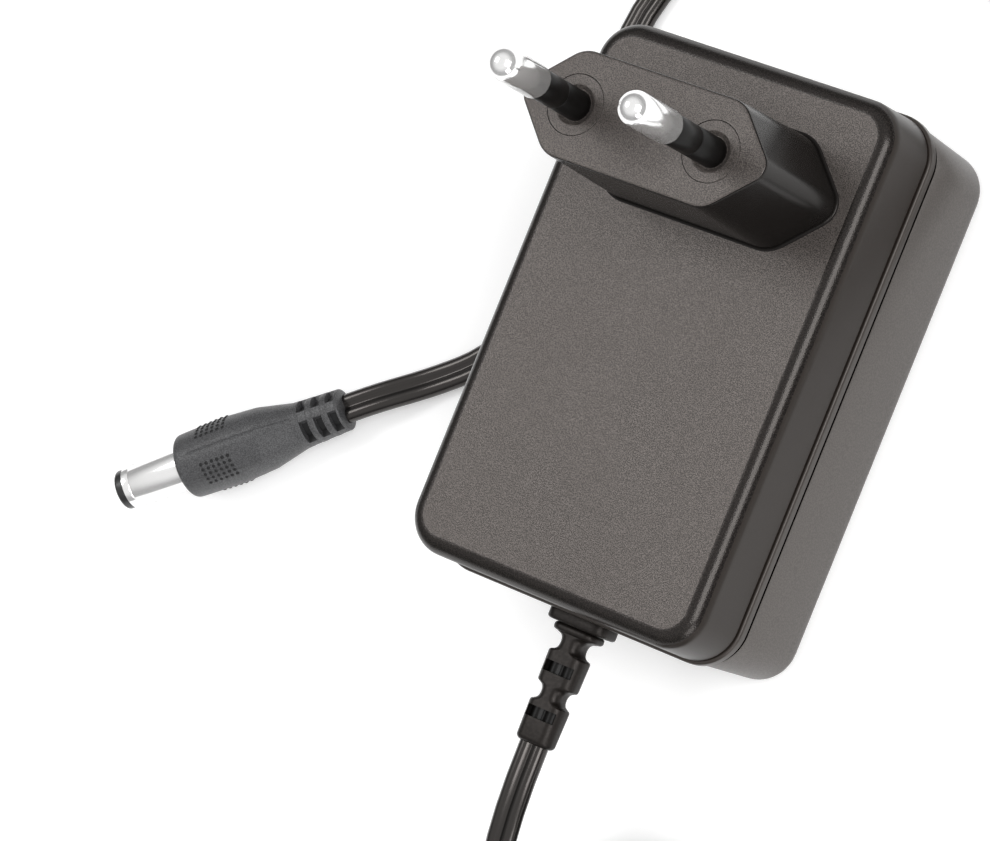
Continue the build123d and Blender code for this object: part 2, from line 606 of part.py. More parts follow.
def cord_out_route():
    """Points of the stretch from the strain relief to the coil, level with the coil's top turn."""
    end_y = -CASE_LENGTH / 2 - RELIEF_LENGTH
    top_z = COIL_HEIGHT - CORD_THICKNESS / 2
    return [
        (0, end_y, RELIEF_Z),
        (0, -61.0, RELIEF_Z),
        (0, -71.5, top_z),
        (0, -80.5, top_z),
        coil_point(COIL_START_ANGLE, COIL_RADIUS, top_z),
    ]


def cord_end_route():
    """Points of the stretch along the floor from the coil, round the case, to the small plug."""
    floor = CORD_FLOOR_Z
    return [
        coil_point(COIL_END_ANGLE, COIL_RADIUS + coil_spread(), floor),
        (49.5, -63.0, floor),
        (56.4, -43.5, floor),
        (50.0, -18.0, floor),
        (40.0, 6.0, floor),
        (30.0, 29.0, floor),
        (20.0, 50.0, floor),
        (3.5, 57.5, floor),
        (-15.0, 55.7, floor),
        (-29.0, 47.6, floor),
        (-34.0, 34.0, floor),
        (-29.5, 19.0, floor),
        (-26.8, 3.5, floor),
        plug_axis_point(20.0, floor),
        plug_axis_point(11.5, floor),
        plug_axis_point(4.0, None),
        plug_axis_point(0.0, None),
    ]


def plug_axis_point(distance, z):
    """A point on the plug's axis line, a distance behind its relief, on the axis unless z is given."""
    point = plug_frame().origin + plug_frame().z_dir * (PLUG_LENGTH + distance)
    return (point.X, point.Y, point.Z if z is None else z)


def corner_radii(points):
    """The largest tidy arc at each corner: 0.45 of the shorter run over the tangent of half the turn."""
    corners = [Vector(*point) for point in points]
    radii = []
    for before, here, after in zip(corners, corners[1:], corners[2:]):
        run = min((here - before).length, (after - here).length)
        half_turn = math.radians((here - before).get_angle(after - here)) / 2
        radii.append(0.45 * run / math.tan(half_turn))
    return radii


def flat_cord(name, points):
    """A flat lead of stadium section along straight runs joined by tangent arcs."""
    radii = corner_radii(points)
    path = FilletPolyline(*points, radius=radii)
    heading = path % 0
    wide = Vector(0, 0, 1).cross(heading)
    start = Plane(origin=path @ 0, x_dir=wide, z_dir=heading)
    tube = sweep(start * SlotOverall(CORD_WIDTH, CORD_THICKNESS), path=path)
    print(name, "length", round(path.length, 1), "radii", [round(radius, 1) for radius in radii])
    return tube


def tie_outline(grow):
    """Section of the coil where the tie passes, grown by the band's thickness or not."""
    half_breadth = COIL_COLUMNS * COIL_COLUMN_PITCH / 2
    half_top = COIL_COLUMN_PITCH / 2
    corners = [(-half_breadth, 0), (half_breadth, 0), (half_breadth, COIL_SHOULDER), (half_top, COIL_HEIGHT)]
    corners += [(-half_top, COIL_HEIGHT), (-half_breadth, COIL_SHOULDER)]
    outline = Pos(0, TIE_THICKNESS) * make_face(Polyline(*corners, close=True))
    return offset(outline, TIE_THICKNESS, kind=Kind.INTERSECTION) if grow else outline


def tie_block(grow):
    """The straight length of coil under the tie, or with grow the block that the tie's band fills."""
    radial = math.radians(TIE_ANGLE)
    across = (math.cos(radial), math.sin(radial), 0)
    along = Vector(across).cross(Vector(0, 0, 1))
    plane = Plane(origin=coil_point(TIE_ANGLE, COIL_RADIUS, 0), x_dir=across, z_dir=along)
    return extrude(plane * tie_outline(grow), amount=TIE_WIDTH / 2, both=True)


def dc_cord_coil():
    """The outer form of the put-away turns, lifted by the tie's thickness where the tie passes."""
    base = (Align.CENTER, Align.CENTER, Align.MIN)
    half = CORD_WIDTH / 2 + COIL_CLEARANCE
    turns = Cylinder(COIL_RADIUS + coil_spread() + half, COIL_SHOULDER, align=base)
    turns -= Cylinder(COIL_RADIUS - coil_spread() - half, COIL_SHOULDER, align=base)
    last = Pos(COIL_RADIUS, COIL_SHOULDER + CORD_THICKNESS / 2) * Rectangle(CORD_WIDTH, CORD_THICKNESS)
    sweep_angle = 360 + COIL_END_ANGLE - COIL_START_ANGLE
    top_turn = revolve(Plane.XZ * last, Axis.Z, revolution_arc=sweep_angle)
    turns += Rot(0, 0, COIL_START_ANGLE) * top_turn
    window = Box(COIL_RADIUS, TIE_WIDTH, 4 * COIL_HEIGHT)
    turns = Pos(COIL_X, COIL_Y, 0) * turns
    turns -= Pos(*coil_point(TIE_ANGLE, COIL_RADIUS, 0)) * Rot(0, 0, TIE_ANGLE) * window
    return turns + tie_block(False)


def cord_tie():
    """Twist tie: a flat band round the turns, with its twisted ends on the floor along the coil."""
    band = tie_block(True) - tie_block(False)
    outside = COIL_RADIUS + COIL_COLUMNS * COIL_COLUMN_PITCH / 2 + TIE_THICKNESS
    tail = Cylinder(TIE_TAIL_RADIUS, TIE_TAIL_LENGTH)
    reach = Pos(0, (TIE_TAIL_LENGTH - TIE_WIDTH) / 2, 0) * Rot(90, 0, 0) * tail
    place = coil_point(TIE_ANGLE, outside + TIE_TAIL_RADIUS / 2, TIE_TAIL_RADIUS)
    return band + Pos(*place) * Rot(0, 0, TIE_ANGLE) * reach


def circuit_board():
    """The board, with a hole for each staked peg."""
    board = rounded_box(BOARD_WIDTH, BOARD_LENGTH, BOARD_THICKNESS, BOARD_CORNER_RADIUS)
    board = Pos(0, 0, BOARD_BOTTOM) * board
    for x, y in peg_places():
        board -= Pos(x, y, BOARD_TOP) * Cylinder(PEG_RADIUS, 4 * BOARD_THICKNESS)
    return board


def on_board(x, y):
    """The spot on the board where a part stands."""
    return Pos(x, y, BOARD_TOP)


def chip(place, size, legs, rows_along_y=True):
    """A moulded dual-in-line package on bent legs."""
    width, length, height = size
    base = (Align.CENTER, Align.CENTER, Align.MIN)
    body = Pos(0, 0, CHIP_STANDOFF) * Box(width, length, height, align=base)
    body = chamfer(body.edges().filter_by(Axis.Z), CHIP_EDGE)
    middle = CHIP_STANDOFF + height / 2
    for index in range(legs):
        along = (index - (legs - 1) / 2) * CHIP_LEG_PITCH
        for side in (-1, 1):
            leg = Box(CHIP_LEG_THICKNESS, CHIP_LEG_WIDTH, middle, align=base)
            spread = width / 2 if rows_along_y else length / 2
            x, y = (side * (spread + CHIP_LEG_THICKNESS / 2), along)
            if not rows_along_y:
                leg = Rot(0, 0, 90) * leg
                x, y = y, x
            body += Pos(x, y, 0) * leg
    return place * body


def capacitor_can(place, radius, height):
    """An upright electrolytic capacitor with its crimp groove."""
    crimp = CAN_CRIMP_DEPTH
    outline = Polyline(
        (0, 0),
        (radius - crimp, 0),
        (radius, crimp),
        (radius, CAN_CRIMP_HEIGHT - crimp),
        (radius - crimp, CAN_CRIMP_HEIGHT),
        (radius, CAN_CRIMP_HEIGHT + crimp),
        (radius, height - CAN_EDGE),
        (radius - CAN_EDGE, height),
        (0, height),
        close=True,
    )
    return place * revolve(Plane.XZ * make_face(outline), Axis.Z)


def choke_core():
    """Drum-shaped ferrite core."""
    top = CHOKE_HEIGHT - CHOKE_RIM_HEIGHT
    outline = Polyline(
        (0, 0),
        (CHOKE_RADIUS, 0),
        (CHOKE_RADIUS, CHOKE_RIM_HEIGHT),
        (CHOKE_WAIST_RADIUS, CHOKE_RIM_HEIGHT),
        (CHOKE_WAIST_RADIUS, top),
        (CHOKE_RADIUS, top),
        (CHOKE_RADIUS, CHOKE_HEIGHT),
        (0, CHOKE_HEIGHT),
        close=True,
    )
    return on_board(CHOKE_X, CHOKE_Y) * revolve(Plane.XZ * make_face(outline), Axis.Z)


def choke_winding():
    """Copper winding in the drum's waist."""
    base = (Align.CENTER, Align.CENTER, Align.MIN)
    depth = CHOKE_HEIGHT - 2 * CHOKE_RIM_HEIGHT
    winding = Cylinder(CHOKE_WINDING_RADIUS, depth, align=base)
    winding -= Cylinder(CHOKE_WAIST_RADIUS, depth, align=base)
    return on_board(CHOKE_X, CHOKE_Y) * Pos(0, 0, CHOKE_RIM_HEIGHT) * winding


def y_capacitor():
    """Disc capacitor that stands on edge on two leads, across the board."""
    half = Y_CAPACITOR_THICKNESS / 2
    outline = Polyline(
        (0, -half),
        (Y_CAPACITOR_RADIUS - Y_CAPACITOR_EDGE, -half),
        (Y_CAPACITOR_RADIUS, Y_CAPACITOR_EDGE - half),
        (Y_CAPACITOR_RADIUS, half - Y_CAPACITOR_EDGE),
        (Y_CAPACITOR_RADIUS - Y_CAPACITOR_EDGE, half),
        (0, half),
        close=True,
    )
    centre = Y_CAPACITOR_LEG_HEIGHT + Y_CAPACITOR_RADIUS
    body = Pos(0, 0, centre) * Rot(90, 0, 0) * revolve(Plane.XZ * make_face(outline), Axis.Z)
    for side in (-1, 1):
        leg = Cylinder(Y_CAPACITOR_LEG_RADIUS, centre, align=(Align.CENTER, Align.CENTER, Align.MIN))
        body += Pos(side * Y_CAPACITOR_LEG_SPACING / 2, 0, 0) * leg
    return on_board(CONTROL_X, Y_CAPACITOR_Y) * body


def input_fuse():
    """Radial fuse in a moulded case."""
    return on_board(FUSE_X, FUSE_Y) * rounded_box(*FUSE_SIZE, FUSE_SIZE[0] / 5)


def output_heatsink():
    """Bent aluminium sheet: a back plate with two side wings."""
    width, depth, height = HEATSINK_SIZE
    inner = Pos(0, -HEATSINK_THICKNESS, 0) * Box(
        width - 2 * HEATSINK_THICKNESS, depth, height, align=(Align.CENTER, Align.MAX, Align.MIN)
    )
    sheet = Box(width, depth, height, align=(Align.CENTER, Align.MAX, Align.MIN)) - inner
    return on_board(HEATSINK_X, HEATSINK_Y + depth / 2) * sheet


def output_rectifier():
    """Tab-mounted rectifier, flat against the heatsink's plate."""
    width, depth, height = RECTIFIER_BODY
    base = (Align.CENTER, Align.MAX, Align.MIN)
    body = Pos(0, 0, RECTIFIER_LEG_HEIGHT) * Box(width, depth, height, align=base)
    body += Pos(0, 0, RECTIFIER_LEG_HEIGHT + height) * Box(*RECTIFIER_TAB, align=base)
    for index in (-1, 0, 1):
        leg = Box(
            RECTIFIER_LEG_WIDTH,
            RECTIFIER_LEG_WIDTH,
            RECTIFIER_LEG_HEIGHT,
            align=(Align.CENTER, Align.CENTER, Align.MIN),
        )
        body += Pos(index * RECTIFIER_LEG_PITCH, -depth / 2, 0) * leg
    return on_board(HEATSINK_X, HEATSINK_Y + HEATSINK_SIZE[1] / 2 - HEATSINK_THICKNESS) * body


def transformer_centre():
    """The middle of the winding, as high as the bobbin's flange above the board."""
    return Pos(TRANSFORMER_X, TRANSFORMER_Y, BOARD_TOP + WINDING_HEIGHT / 2 + BOBBIN_WALL)


def tube_size():
    """Outer width and height of the bobbin's tube round the core's centre leg."""
    grow = 2 * (BOBBIN_WALL + BOBBIN_CLEARANCE)
    return CORE_CENTRE_LEG + grow, CORE_THICKNESS + grow


def transformer_core(side):
    """One E-shaped ferrite half; the two meet in the middle of the winding."""
    depth = TRANSFORMER_LENGTH / 2
    base = (Align.CENTER, Align.MIN, Align.CENTER)
    window = (CORE_WIDTH - CORE_CENTRE_LEG) / 2 - CORE_OUTER_LEG
    core = Box(CORE_WIDTH, depth, CORE_THICKNESS, align=base)
    for wing in (-1, 1):
        gap = Box(window, depth - CORE_YOKE, CORE_THICKNESS, align=base)
        core -= Pos(wing * (CORE_CENTRE_LEG + window) / 2, 0, 0) * gap
    return transformer_centre() * Rot(0, 0, 0 if side > 0 else 180) * core


def transformer_bobbin():
    """Bobbin: a square tube between two flanges, on two pin rails."""
    tube_width, tube_height = tube_size()
    length = WINDING_LENGTH + 2 * BOBBIN_WALL
    tube = Box(tube_width, length, tube_height)
    for side in (-1, 1):
        flange = Box(WINDING_WIDTH, BOBBIN_WALL, WINDING_HEIGHT + 2 * BOBBIN_WALL)
        tube += Pos(0, side * (WINDING_LENGTH + BOBBIN_WALL) / 2, 0) * flange
        rail = Box(*BOBBIN_RAIL, align=(Align.CENTER, Align.CENTER, Align.MIN))
        y = side * (WINDING_LENGTH / 2 + BOBBIN_RAIL[1] / 2)
        tube += Pos(0, y, -WINDING_HEIGHT / 2 - BOBBIN_WALL) * rail
    hole = Box(CORE_CENTRE_LEG + 2 * BOBBIN_CLEARANCE, 2 * length, CORE_THICKNESS + 2 * BOBBIN_CLEARANCE)
    return transformer_centre() * (tube - hole)


def transformer_winding():
    """Taped winding: a rounded block round the bobbin's tube."""
    tube_width, tube_height = tube_size()
    across = Plane(origin=(0, -WINDING_LENGTH / 2, 0), x_dir=(1, 0, 0), z_dir=(0, 1, 0))
    outline = across * RectangleRounded(WINDING_WIDTH, WINDING_HEIGHT, WINDING_WIDTH / 6)
    block = extrude(outline, amount=WINDING_LENGTH)
    return transformer_centre() * (block - Box(tube_width, 2 * WINDING_LENGTH, tube_height))


def build():
    """Every node of the power supply by name."""
    rear, front = rear_case(), front_case()
    coil = dc_cord_coil()
    aux_place = on_board(CONTROL_X, AUX_Y)
    nodes = {
        "rear_case": rear,
        "front_case": front,
        "strain_relief": strain_relief(rear, front),
        "circuit_board": circuit_board(),
        "input_fuse": input_fuse(),
        "bridge_rectifier": chip(on_board(BRIDGE_X, BRIDGE_Y), BRIDGE_SIZE, 2, rows_along_y=False),
        "controller_chip": chip(on_board(CONTROLLER_X, CONTROLLER_Y), CONTROLLER_SIZE, 3),
        "optocoupler": chip(on_board(CONTROL_X, OPTOCOUPLER_Y), OPTOCOUPLER_SIZE, 2),
        "choke_core": choke_core(),
        "choke_winding": choke_winding(),
        "y_capacitor": y_capacitor(),
        "aux_capacitor": capacitor_can(aux_place, AUX_CAPACITOR_RADIUS, AUX_CAPACITOR_HEIGHT),
        "bulk_capacitor_1": capacitor_can(on_board(BULK_X, BULK_Y), BULK_RADIUS, BULK_HEIGHT),
        "bulk_capacitor_2": capacitor_can(on_board(SECOND_BULK_X, SECOND_BULK_Y), BULK_RADIUS, BULK_HEIGHT),
        "output_heatsink": output_heatsink(),
        "output_rectifier": output_rectifier(),
        "transformer_core_front": transformer_core(1),
        "transformer_core_rear": transformer_core(-1),
        "transformer_bobbin": transformer_bobbin(),
        "transformer_winding": transformer_winding(),
        "dc_plug_grip": dc_plug_grip(),
        "dc_plug_barrel": dc_plug_barrel(),
        "dc_plug_tip": dc_plug_tip(),
        "dc_plug_contact": dc_plug_contact(),
        "dc_cord": flat_cord("dc_cord", cord_out_route()) - coil,
        "dc_cord_coil": coil,
        "dc_cord_end": flat_cord("dc_cord_end", cord_end_route()) - coil,
        "cord_tie": cord_tie(),
    }
    for side, hand in ((-1, "left"), (1, "right")):
        nodes[f"pin_insert_{hand}"] = pin_insert(side)
        nodes[f"mains_pin_{hand}"] = mains_pin(side)
        nodes[f"pin_sleeve_{hand}"] = pin_sleeve(side)
        nodes[f"mains_lead_{hand}"] = mains_lead(side)
        nodes[f"output_lead_{hand}"] = output_lead(side)
    for number, (x, radius) in enumerate(zip(OUTPUT_CAPACITOR_X, OUTPUT_CAPACITOR_RADII), start=1):
        place = on_board(x, OUTPUT_CAPACITOR_Y)
        nodes[f"output_capacitor_{number}"] = capacitor_can(place, radius, OUTPUT_CAPACITOR_HEIGHT)
    return nodes


for name, solid in build().items():
    export_step(solid, f"parts/{name}.step")
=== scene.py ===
"""Looks of a plug-in power supply with a flat mains plug and a low-voltage lead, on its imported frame.

Sizes are in millimetres of the part's own frame: +X across the case, +Y towards the plug block, +Z up
out of the front. The adaptor lies on its back on the floor.
"""

from __future__ import annotations

import json
import logging
import math
from collections.abc import Collection, Iterable, Sequence
from dataclasses import dataclass, field
from enum import Enum, IntEnum

import bmesh
import bpy
from mathutils import Matrix, Vector
from mathutils.geometry import tessellate_polygon

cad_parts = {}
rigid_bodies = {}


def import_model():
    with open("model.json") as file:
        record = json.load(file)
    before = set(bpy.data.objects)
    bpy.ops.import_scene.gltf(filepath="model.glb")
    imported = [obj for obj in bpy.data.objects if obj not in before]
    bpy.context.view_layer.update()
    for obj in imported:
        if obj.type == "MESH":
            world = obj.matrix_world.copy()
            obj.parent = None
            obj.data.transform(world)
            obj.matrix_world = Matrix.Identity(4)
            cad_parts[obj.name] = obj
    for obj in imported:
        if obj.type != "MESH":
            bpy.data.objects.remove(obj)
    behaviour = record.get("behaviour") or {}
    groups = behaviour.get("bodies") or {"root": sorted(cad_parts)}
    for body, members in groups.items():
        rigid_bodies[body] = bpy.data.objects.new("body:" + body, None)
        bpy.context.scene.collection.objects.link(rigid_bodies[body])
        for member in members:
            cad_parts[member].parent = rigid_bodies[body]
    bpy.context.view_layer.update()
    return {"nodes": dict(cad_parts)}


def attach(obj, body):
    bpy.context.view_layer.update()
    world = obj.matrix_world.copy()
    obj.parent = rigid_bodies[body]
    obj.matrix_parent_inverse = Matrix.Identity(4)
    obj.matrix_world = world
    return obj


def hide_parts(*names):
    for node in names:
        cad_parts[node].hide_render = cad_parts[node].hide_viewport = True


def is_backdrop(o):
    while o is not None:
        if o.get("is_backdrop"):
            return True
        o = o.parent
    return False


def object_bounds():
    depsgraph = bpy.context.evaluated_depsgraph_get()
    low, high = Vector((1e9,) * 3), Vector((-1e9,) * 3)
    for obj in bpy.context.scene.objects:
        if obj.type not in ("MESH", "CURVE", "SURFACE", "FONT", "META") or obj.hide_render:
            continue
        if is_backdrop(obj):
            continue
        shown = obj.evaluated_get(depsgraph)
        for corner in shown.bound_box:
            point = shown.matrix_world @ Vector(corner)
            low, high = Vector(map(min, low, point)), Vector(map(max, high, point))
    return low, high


LOG = logging.getLogger("power_supply")
MM = 0.001
BODY = "root"
Point = tuple[float, float, float]
Flat = tuple[float, float]
Color = tuple[float, float, float]
HANDS = ((-1, "left"), (1, "right"))
WHITE: Color = (1.0, 1.0, 1.0)
WARM: Color = (1.0, 0.93, 0.89)
FINE_RATIO = 1.9
PAINTED_GLINT_GAIN = 1.4
CREST_POLISH = 0.35
PAINTED_GLINT_SHARE = 0.7
CREST_RANGE = (0.34, 0.68)
HANDLING_RANGE = (0.3, 0.7)


def rounded_polygon(corners: Sequence[Flat], radii: Sequence[float], steps: int) -> list[Flat]:
    """Rounds the corners of a convex outline that runs anticlockwise.

    Args:
        corners: The sharp corners.
        radii: One corner radius for each.
        steps: Points along each rounded corner.

    Returns:
        The outline, with as many points for any sizes.
    """
    points: list[Flat] = []
    for index, corner in enumerate(corners):
        here = Vector(corner)
        back = (Vector(corners[index - 1]) - here).normalized()
        ahead = (Vector(corners[(index + 1) % len(corners)]) - here).normalized()
        half = back.angle(ahead) / 2
        bisector = (back + ahead).normalized()
        centre = here + bisector * (radii[index] / math.sin(half))
        first = (here + back * (radii[index] / math.tan(half))) - centre
        last = (here + ahead * (radii[index] / math.tan(half))) - centre
        start = math.atan2(first.y, first.x)
        turn = (math.atan2(last.y, last.x) - start) % math.tau
        for step in range(steps):
            points.append(on_circle(radii[index], start + turn * step / (steps - 1), centre))
    return points


def rounded_rectangle(width: float, length: float, radius: float, steps: int) -> list[Flat]:
    """A rounded rectangle about the origin, as an outline of points."""
    x, y = width / 2, length / 2
    return rounded_polygon([(x, -y), (x, y), (-x, y), (-x, -y)], [radius] * 4, steps)


def on_circle(radius: float, turn: float, centre: Sequence[float] = (0.0, 0.0)) -> Flat:
    """The point of a circle at a turn in radians."""
    return (centre[0] + radius * math.cos(turn), centre[1] + radius * math.sin(turn))


def circle(radius: float, steps: int = 64, centre: Flat = (0.0, 0.0)) -> list[Flat]:
    """A circle as an outline of points."""
    return [on_circle(radius, math.tau * step / steps, centre) for step in range(steps)]


def rounding(centre: Flat, radius: float, first: float, last: float, steps: int) -> list[Flat]:
    """Points of an arc, in degrees from its own first axis towards its second."""
    turns = [math.radians(first + (last - first) * step / steps) for step in range(steps + 1)]
    return [on_circle(radius, turn, centre) for turn in turns]


def set_back(radius: float, degrees: float) -> Flat:
    """How far a rounded edge stands back from its two faces, at an angle from 0 to 90 degrees."""
    turn = math.radians(degrees)
    return (radius * (1 - math.cos(turn)), radius * (1 - math.sin(turn)))


def at_height(outline: Iterable[Flat], z: float) -> list[Vector]:
    """Lays an outline at a height."""
    return [Vector((x, y, z)) for x, y in outline]


@dataclass
class Form:
    """A mesh in the making.

    Attributes:
        name: The piece's name.
        place: Where the form's own axes lie in the part's frame, in millimetres.
        points: Its points, on the form's own axes.
        faces: The points' numbers and the finish of each face.
    """

    name: str
    place: Matrix = field(default_factory=lambda: Matrix.Identity(4))
    points: list[Vector] = field(default_factory=list)
    faces: list[tuple[list[int], int]] = field(default_factory=list)

    def ring(self, outline: Iterable[Sequence[float]]) -> list[int]:
        """Adds a loop of points and returns their numbers."""
        first = len(self.points)
        self.points.extend(Vector(point) for point in outline)
        return list(range(first, len(self.points)))

    def bridge(self, low: list[int], high: list[int], finish: int = 0, shaded: Collection[int] = ()) -> None:
        """Joins two loops of as many points with a band, of which the shaded faces take finish 1."""
        for index in range(len(low)):
            after = (index + 1) % len(low)
            kind = 1 if index in shaded else finish
            self.faces.append(([low[index], low[after], high[after], high[index]], kind))

    def stack(self, rings: Sequence[tuple[list[int], int]]) -> None:
        """Joins loops in order, each band with the finish given with its upper loop."""
        for (low, _), (high, finish) in zip(rings, rings[1:]):
            self.bridge(low, high, finish)

    def fill(self, loops: Sequence[list[int]], finish: int = 0) -> None:
        """Fills a flat region: the first loop is its rim and the others are holes in it."""
        numbers = [number for loop in loops for number in loop]
        for triangle in tessellate_polygon([[self.points[number] for number in loop] for loop in loops]):
            self.faces.append(([numbers[corner] for corner in triangle], finish))

    def close(self, *loops: list[int]) -> None:
        """Fills each loop on its own with the first finish."""
        for loop in loops:
            self.fill([loop])

    def post(self, spot: Flat, levels: Iterable[Flat], steps: int, finish: int = 0) -> list[list[int]]:
        """Stacks circles about an upright line, each a radius and a height, and returns their loops."""
        rings = [self.ring(at_height(circle(radius, steps, spot), z)) for radius, z in levels]
        for low, high in zip(rings, rings[1:]):
            self.bridge(low, high, finish)
        return rings

    def lathe(self, profile: Sequence[Flat], steps: int = 64, closed: bool = False) -> None:
        """Turns a profile about the form's own Z axis.

        Args:
            profile: Radius and height of each point; a radius of 0 closes the form at a pole.
            steps: Faces round the axis.
            closed: True where the last point joins the first.
        """
        rings: list[list[int]] = []
        for radius, z in profile:
            rings.append(self.ring(at_height(circle(radius, steps) if radius else [(0, 0)], z)))
        for low, high in zip(rings, rings[1:] + (rings[:1] if closed else [])):
            if len(low) > 1 and len(high) > 1:
                self.bridge(low, high)
                continue
            pole, rim = (low, high) if len(low) == 1 else (high, low)
            for index in range(len(rim)):
                self.faces.append(([pole[0], rim[index], rim[(index + 1) % len(rim)]], 0))

    def piece(self, finishes: Sequence[bpy.types.Material], crease: float = 35.0) -> bpy.types.Object:
        """Makes the object, in metres, closed, facing outwards and smooth up to the crease angle.

        Args:
            finishes: Its materials, in the order that the faces number them.
            crease: Angle in degrees above which an edge stays sharp.

        Returns:
            The object, at the origin.
        """
        mesh = bpy.data.meshes.new(self.name)
        for finish in finishes:
            mesh.materials.append(finish)
        work = bmesh.new()
        corners = [work.verts.new((self.place @ point) * MM) for point in self.points]
        for numbers, finish in self.faces:
            face = work.faces.new([corners[number] for number in numbers])
            face.material_index = finish
            face.smooth = True
        bmesh.ops.remove_doubles(work, verts=work.verts, dist=1e-8)
        bmesh.ops.recalc_face_normals(work, faces=work.faces)
        work.to_mesh(mesh)
        work.free()
        mesh.set_sharp_from_angle(angle=math.radians(crease))
        made = bpy.data.objects.new(self.name, mesh)
        bpy.context.scene.collection.objects.link(made)
        return made


@dataclass
class Graph:
    """A node tree in the making, with short ways to add and join nodes."""

    tree: bpy.types.NodeTree

    def node(self, kind: str, **values: object) -> bpy.types.Node:
        """Adds a node, sets its properties and its inputs, and joins sockets given as inputs.

        Args:
            kind: Blender's name of the node type.
            values: A property by its name, or an input by its name with spaces as underscores.

        Returns:
            The node.
        """
        made = self.tree.nodes.new(kind)
        inputs: dict[str, object] = {}
        for name, value in values.items():
            if hasattr(made, name):
                setattr(made, name, value)
            else:
                inputs[name.replace("_", " ").lower()] = value
        for name, value in inputs.items():
            free = (item for item in made.inputs if item.enabled and not item.is_linked)
            self.feed(next(item for item in free if item.name.lower() == name), value)
        return made

    def feed(self, socket: bpy.types.NodeSocket, value: object) -> None:
        """Joins a socket to another, or gives it a value."""
        if isinstance(value, bpy.types.NodeSocket):
            self.tree.links.new(value, socket)
        else:
            socket.default_value = value

    def supply(self, node: bpy.types.Node, values: dict[str, object]) -> None:
        """Feeds a node's inputs by their names."""
        for name, value in values.items():
            self.feed(node.inputs[name], value)

    def math(self, operation: str, *values: object) -> bpy.types.NodeSocket:
        """A Math node's answer."""
        made = self.tree.nodes.new("ShaderNodeMath")
        made.operation = operation
        for socket, value in zip(made.inputs, values):
            self.feed(socket, value)
        return made.outputs[0]

    def ramp(
        self, value: bpy.types.NodeSocket, low: float, high: float, to_low: float = 0.0, to_high: float = 1.0
    ) -> bpy.types.NodeSocket:
        """A value mapped smoothly from one range to another."""
        made = self.node("ShaderNodeMapRange", interpolation_type="SMOOTHSTEP")
        ends = {"Value": value, "From Min": low, "From Max": high, "To Min": to_low, "To Max": to_high}
        self.supply(made, ends)
        return made.outputs["Result"]

    def noise(self, scale: object, detail: float, roughness: float = 0.5) -> bpy.types.NodeSocket:
        """Noise over a piece's own coordinates."""
        made = self.node("ShaderNodeTexNoise", Scale=scale, Detail=detail, Roughness=roughness)
        self.feed(made.inputs["Vector"], self.node("ShaderNodeTexCoord").outputs["Object"])
        return made.outputs["Fac"]

    def blend(self, share: object, first: object, second: object) -> bpy.types.NodeSocket:
        """Two colours mixed by a share."""
        made = self.tree.nodes.new("ShaderNodeMix")
        made.data_type = "RGBA"
        colours = [item for item in made.inputs if item.type == "RGBA"]
        self.feed(made.inputs[0], share)
        self.feed(colours[0], first)
        self.feed(colours[1], second)
        return next(item for item in made.outputs if item.type == "RGBA")

    def raise_surface(self, shader: bpy.types.Node, height: bpy.types.NodeSocket, depth: float) -> None:
        """Gives a shader the bumps of a height, so many millimetres deep."""
        bump = self.node("ShaderNodeBump", Height=height, Distance=depth * MM)
        self.feed(shader.inputs["Normal"], bump.outputs["Normal"])


def shader_group(
    name: str, inputs: dict[str, float], outputs: Sequence[str]
) -> tuple[Graph, bpy.types.Node, bpy.types.Node]:
    """Starts a shader node group whose sockets are named numbers.

    Args:
        name: The group's name.
        inputs: Each input's default by its name.
        outputs: The outputs' names.

    Returns:
        Its graph, its input node and its output node.
    """
    tree = bpy.data.node_groups.new(name, "ShaderNodeTree")
    number = "NodeSocketFloat"
    for label, default in inputs.items():
        tree.interface.new_socket(name=label, in_out="INPUT", socket_type=number).default_value = default
    for label in outputs:
        tree.interface.new_socket(name=label, in_out="OUTPUT", socket_type=number)
    graph = Graph(tree)
    return graph, graph.node("NodeGroupInput"), graph.node("NodeGroupOutput")


def mould_grain_group() -> bpy.types.NodeTree:
    """Spark-eroded grain: close specks over finer ones, as a height and a mask of their crests, which
    finishes paint lighter as painted glints.
    """
    graph, given, out = shader_group("mould_grain", {"Size": 0.3, "Fine Share": 0.2}, ("Height", "Crests"))
    share = given.outputs["Fine Share"]
    scale = graph.math("DIVIDE", 1 / MM, given.outputs["Size"])
    fine = graph.noise(graph.math("MULTIPLY", scale, FINE_RATIO), 0.0)
    total = graph.math("ADD", graph.noise(scale, 0.0), graph.math("MULTIPLY", fine, share))
    crests = graph.ramp(graph.math("DIVIDE", total, graph.math("ADD", share, 1.0)), *CREST_RANGE)
    graph.supply(out, {"Height": total, "Crests": crests})
    return graph.tree


def handling_group() -> bpy.types.NodeTree:
    """Slow unevenness of a finish, from moulding flow and handling, as a mask from 0 to 1."""
    graph, given, out = shader_group("handling", {"Size": 18.0}, ("Mask",))
    cloud = graph.noise(graph.math("DIVIDE", 1 / MM, given.outputs["Size"]), 3.0, 0.55)
    graph.supply(out, {"Mask": graph.ramp(cloud, *HANDLING_RANGE)})
    return graph.tree


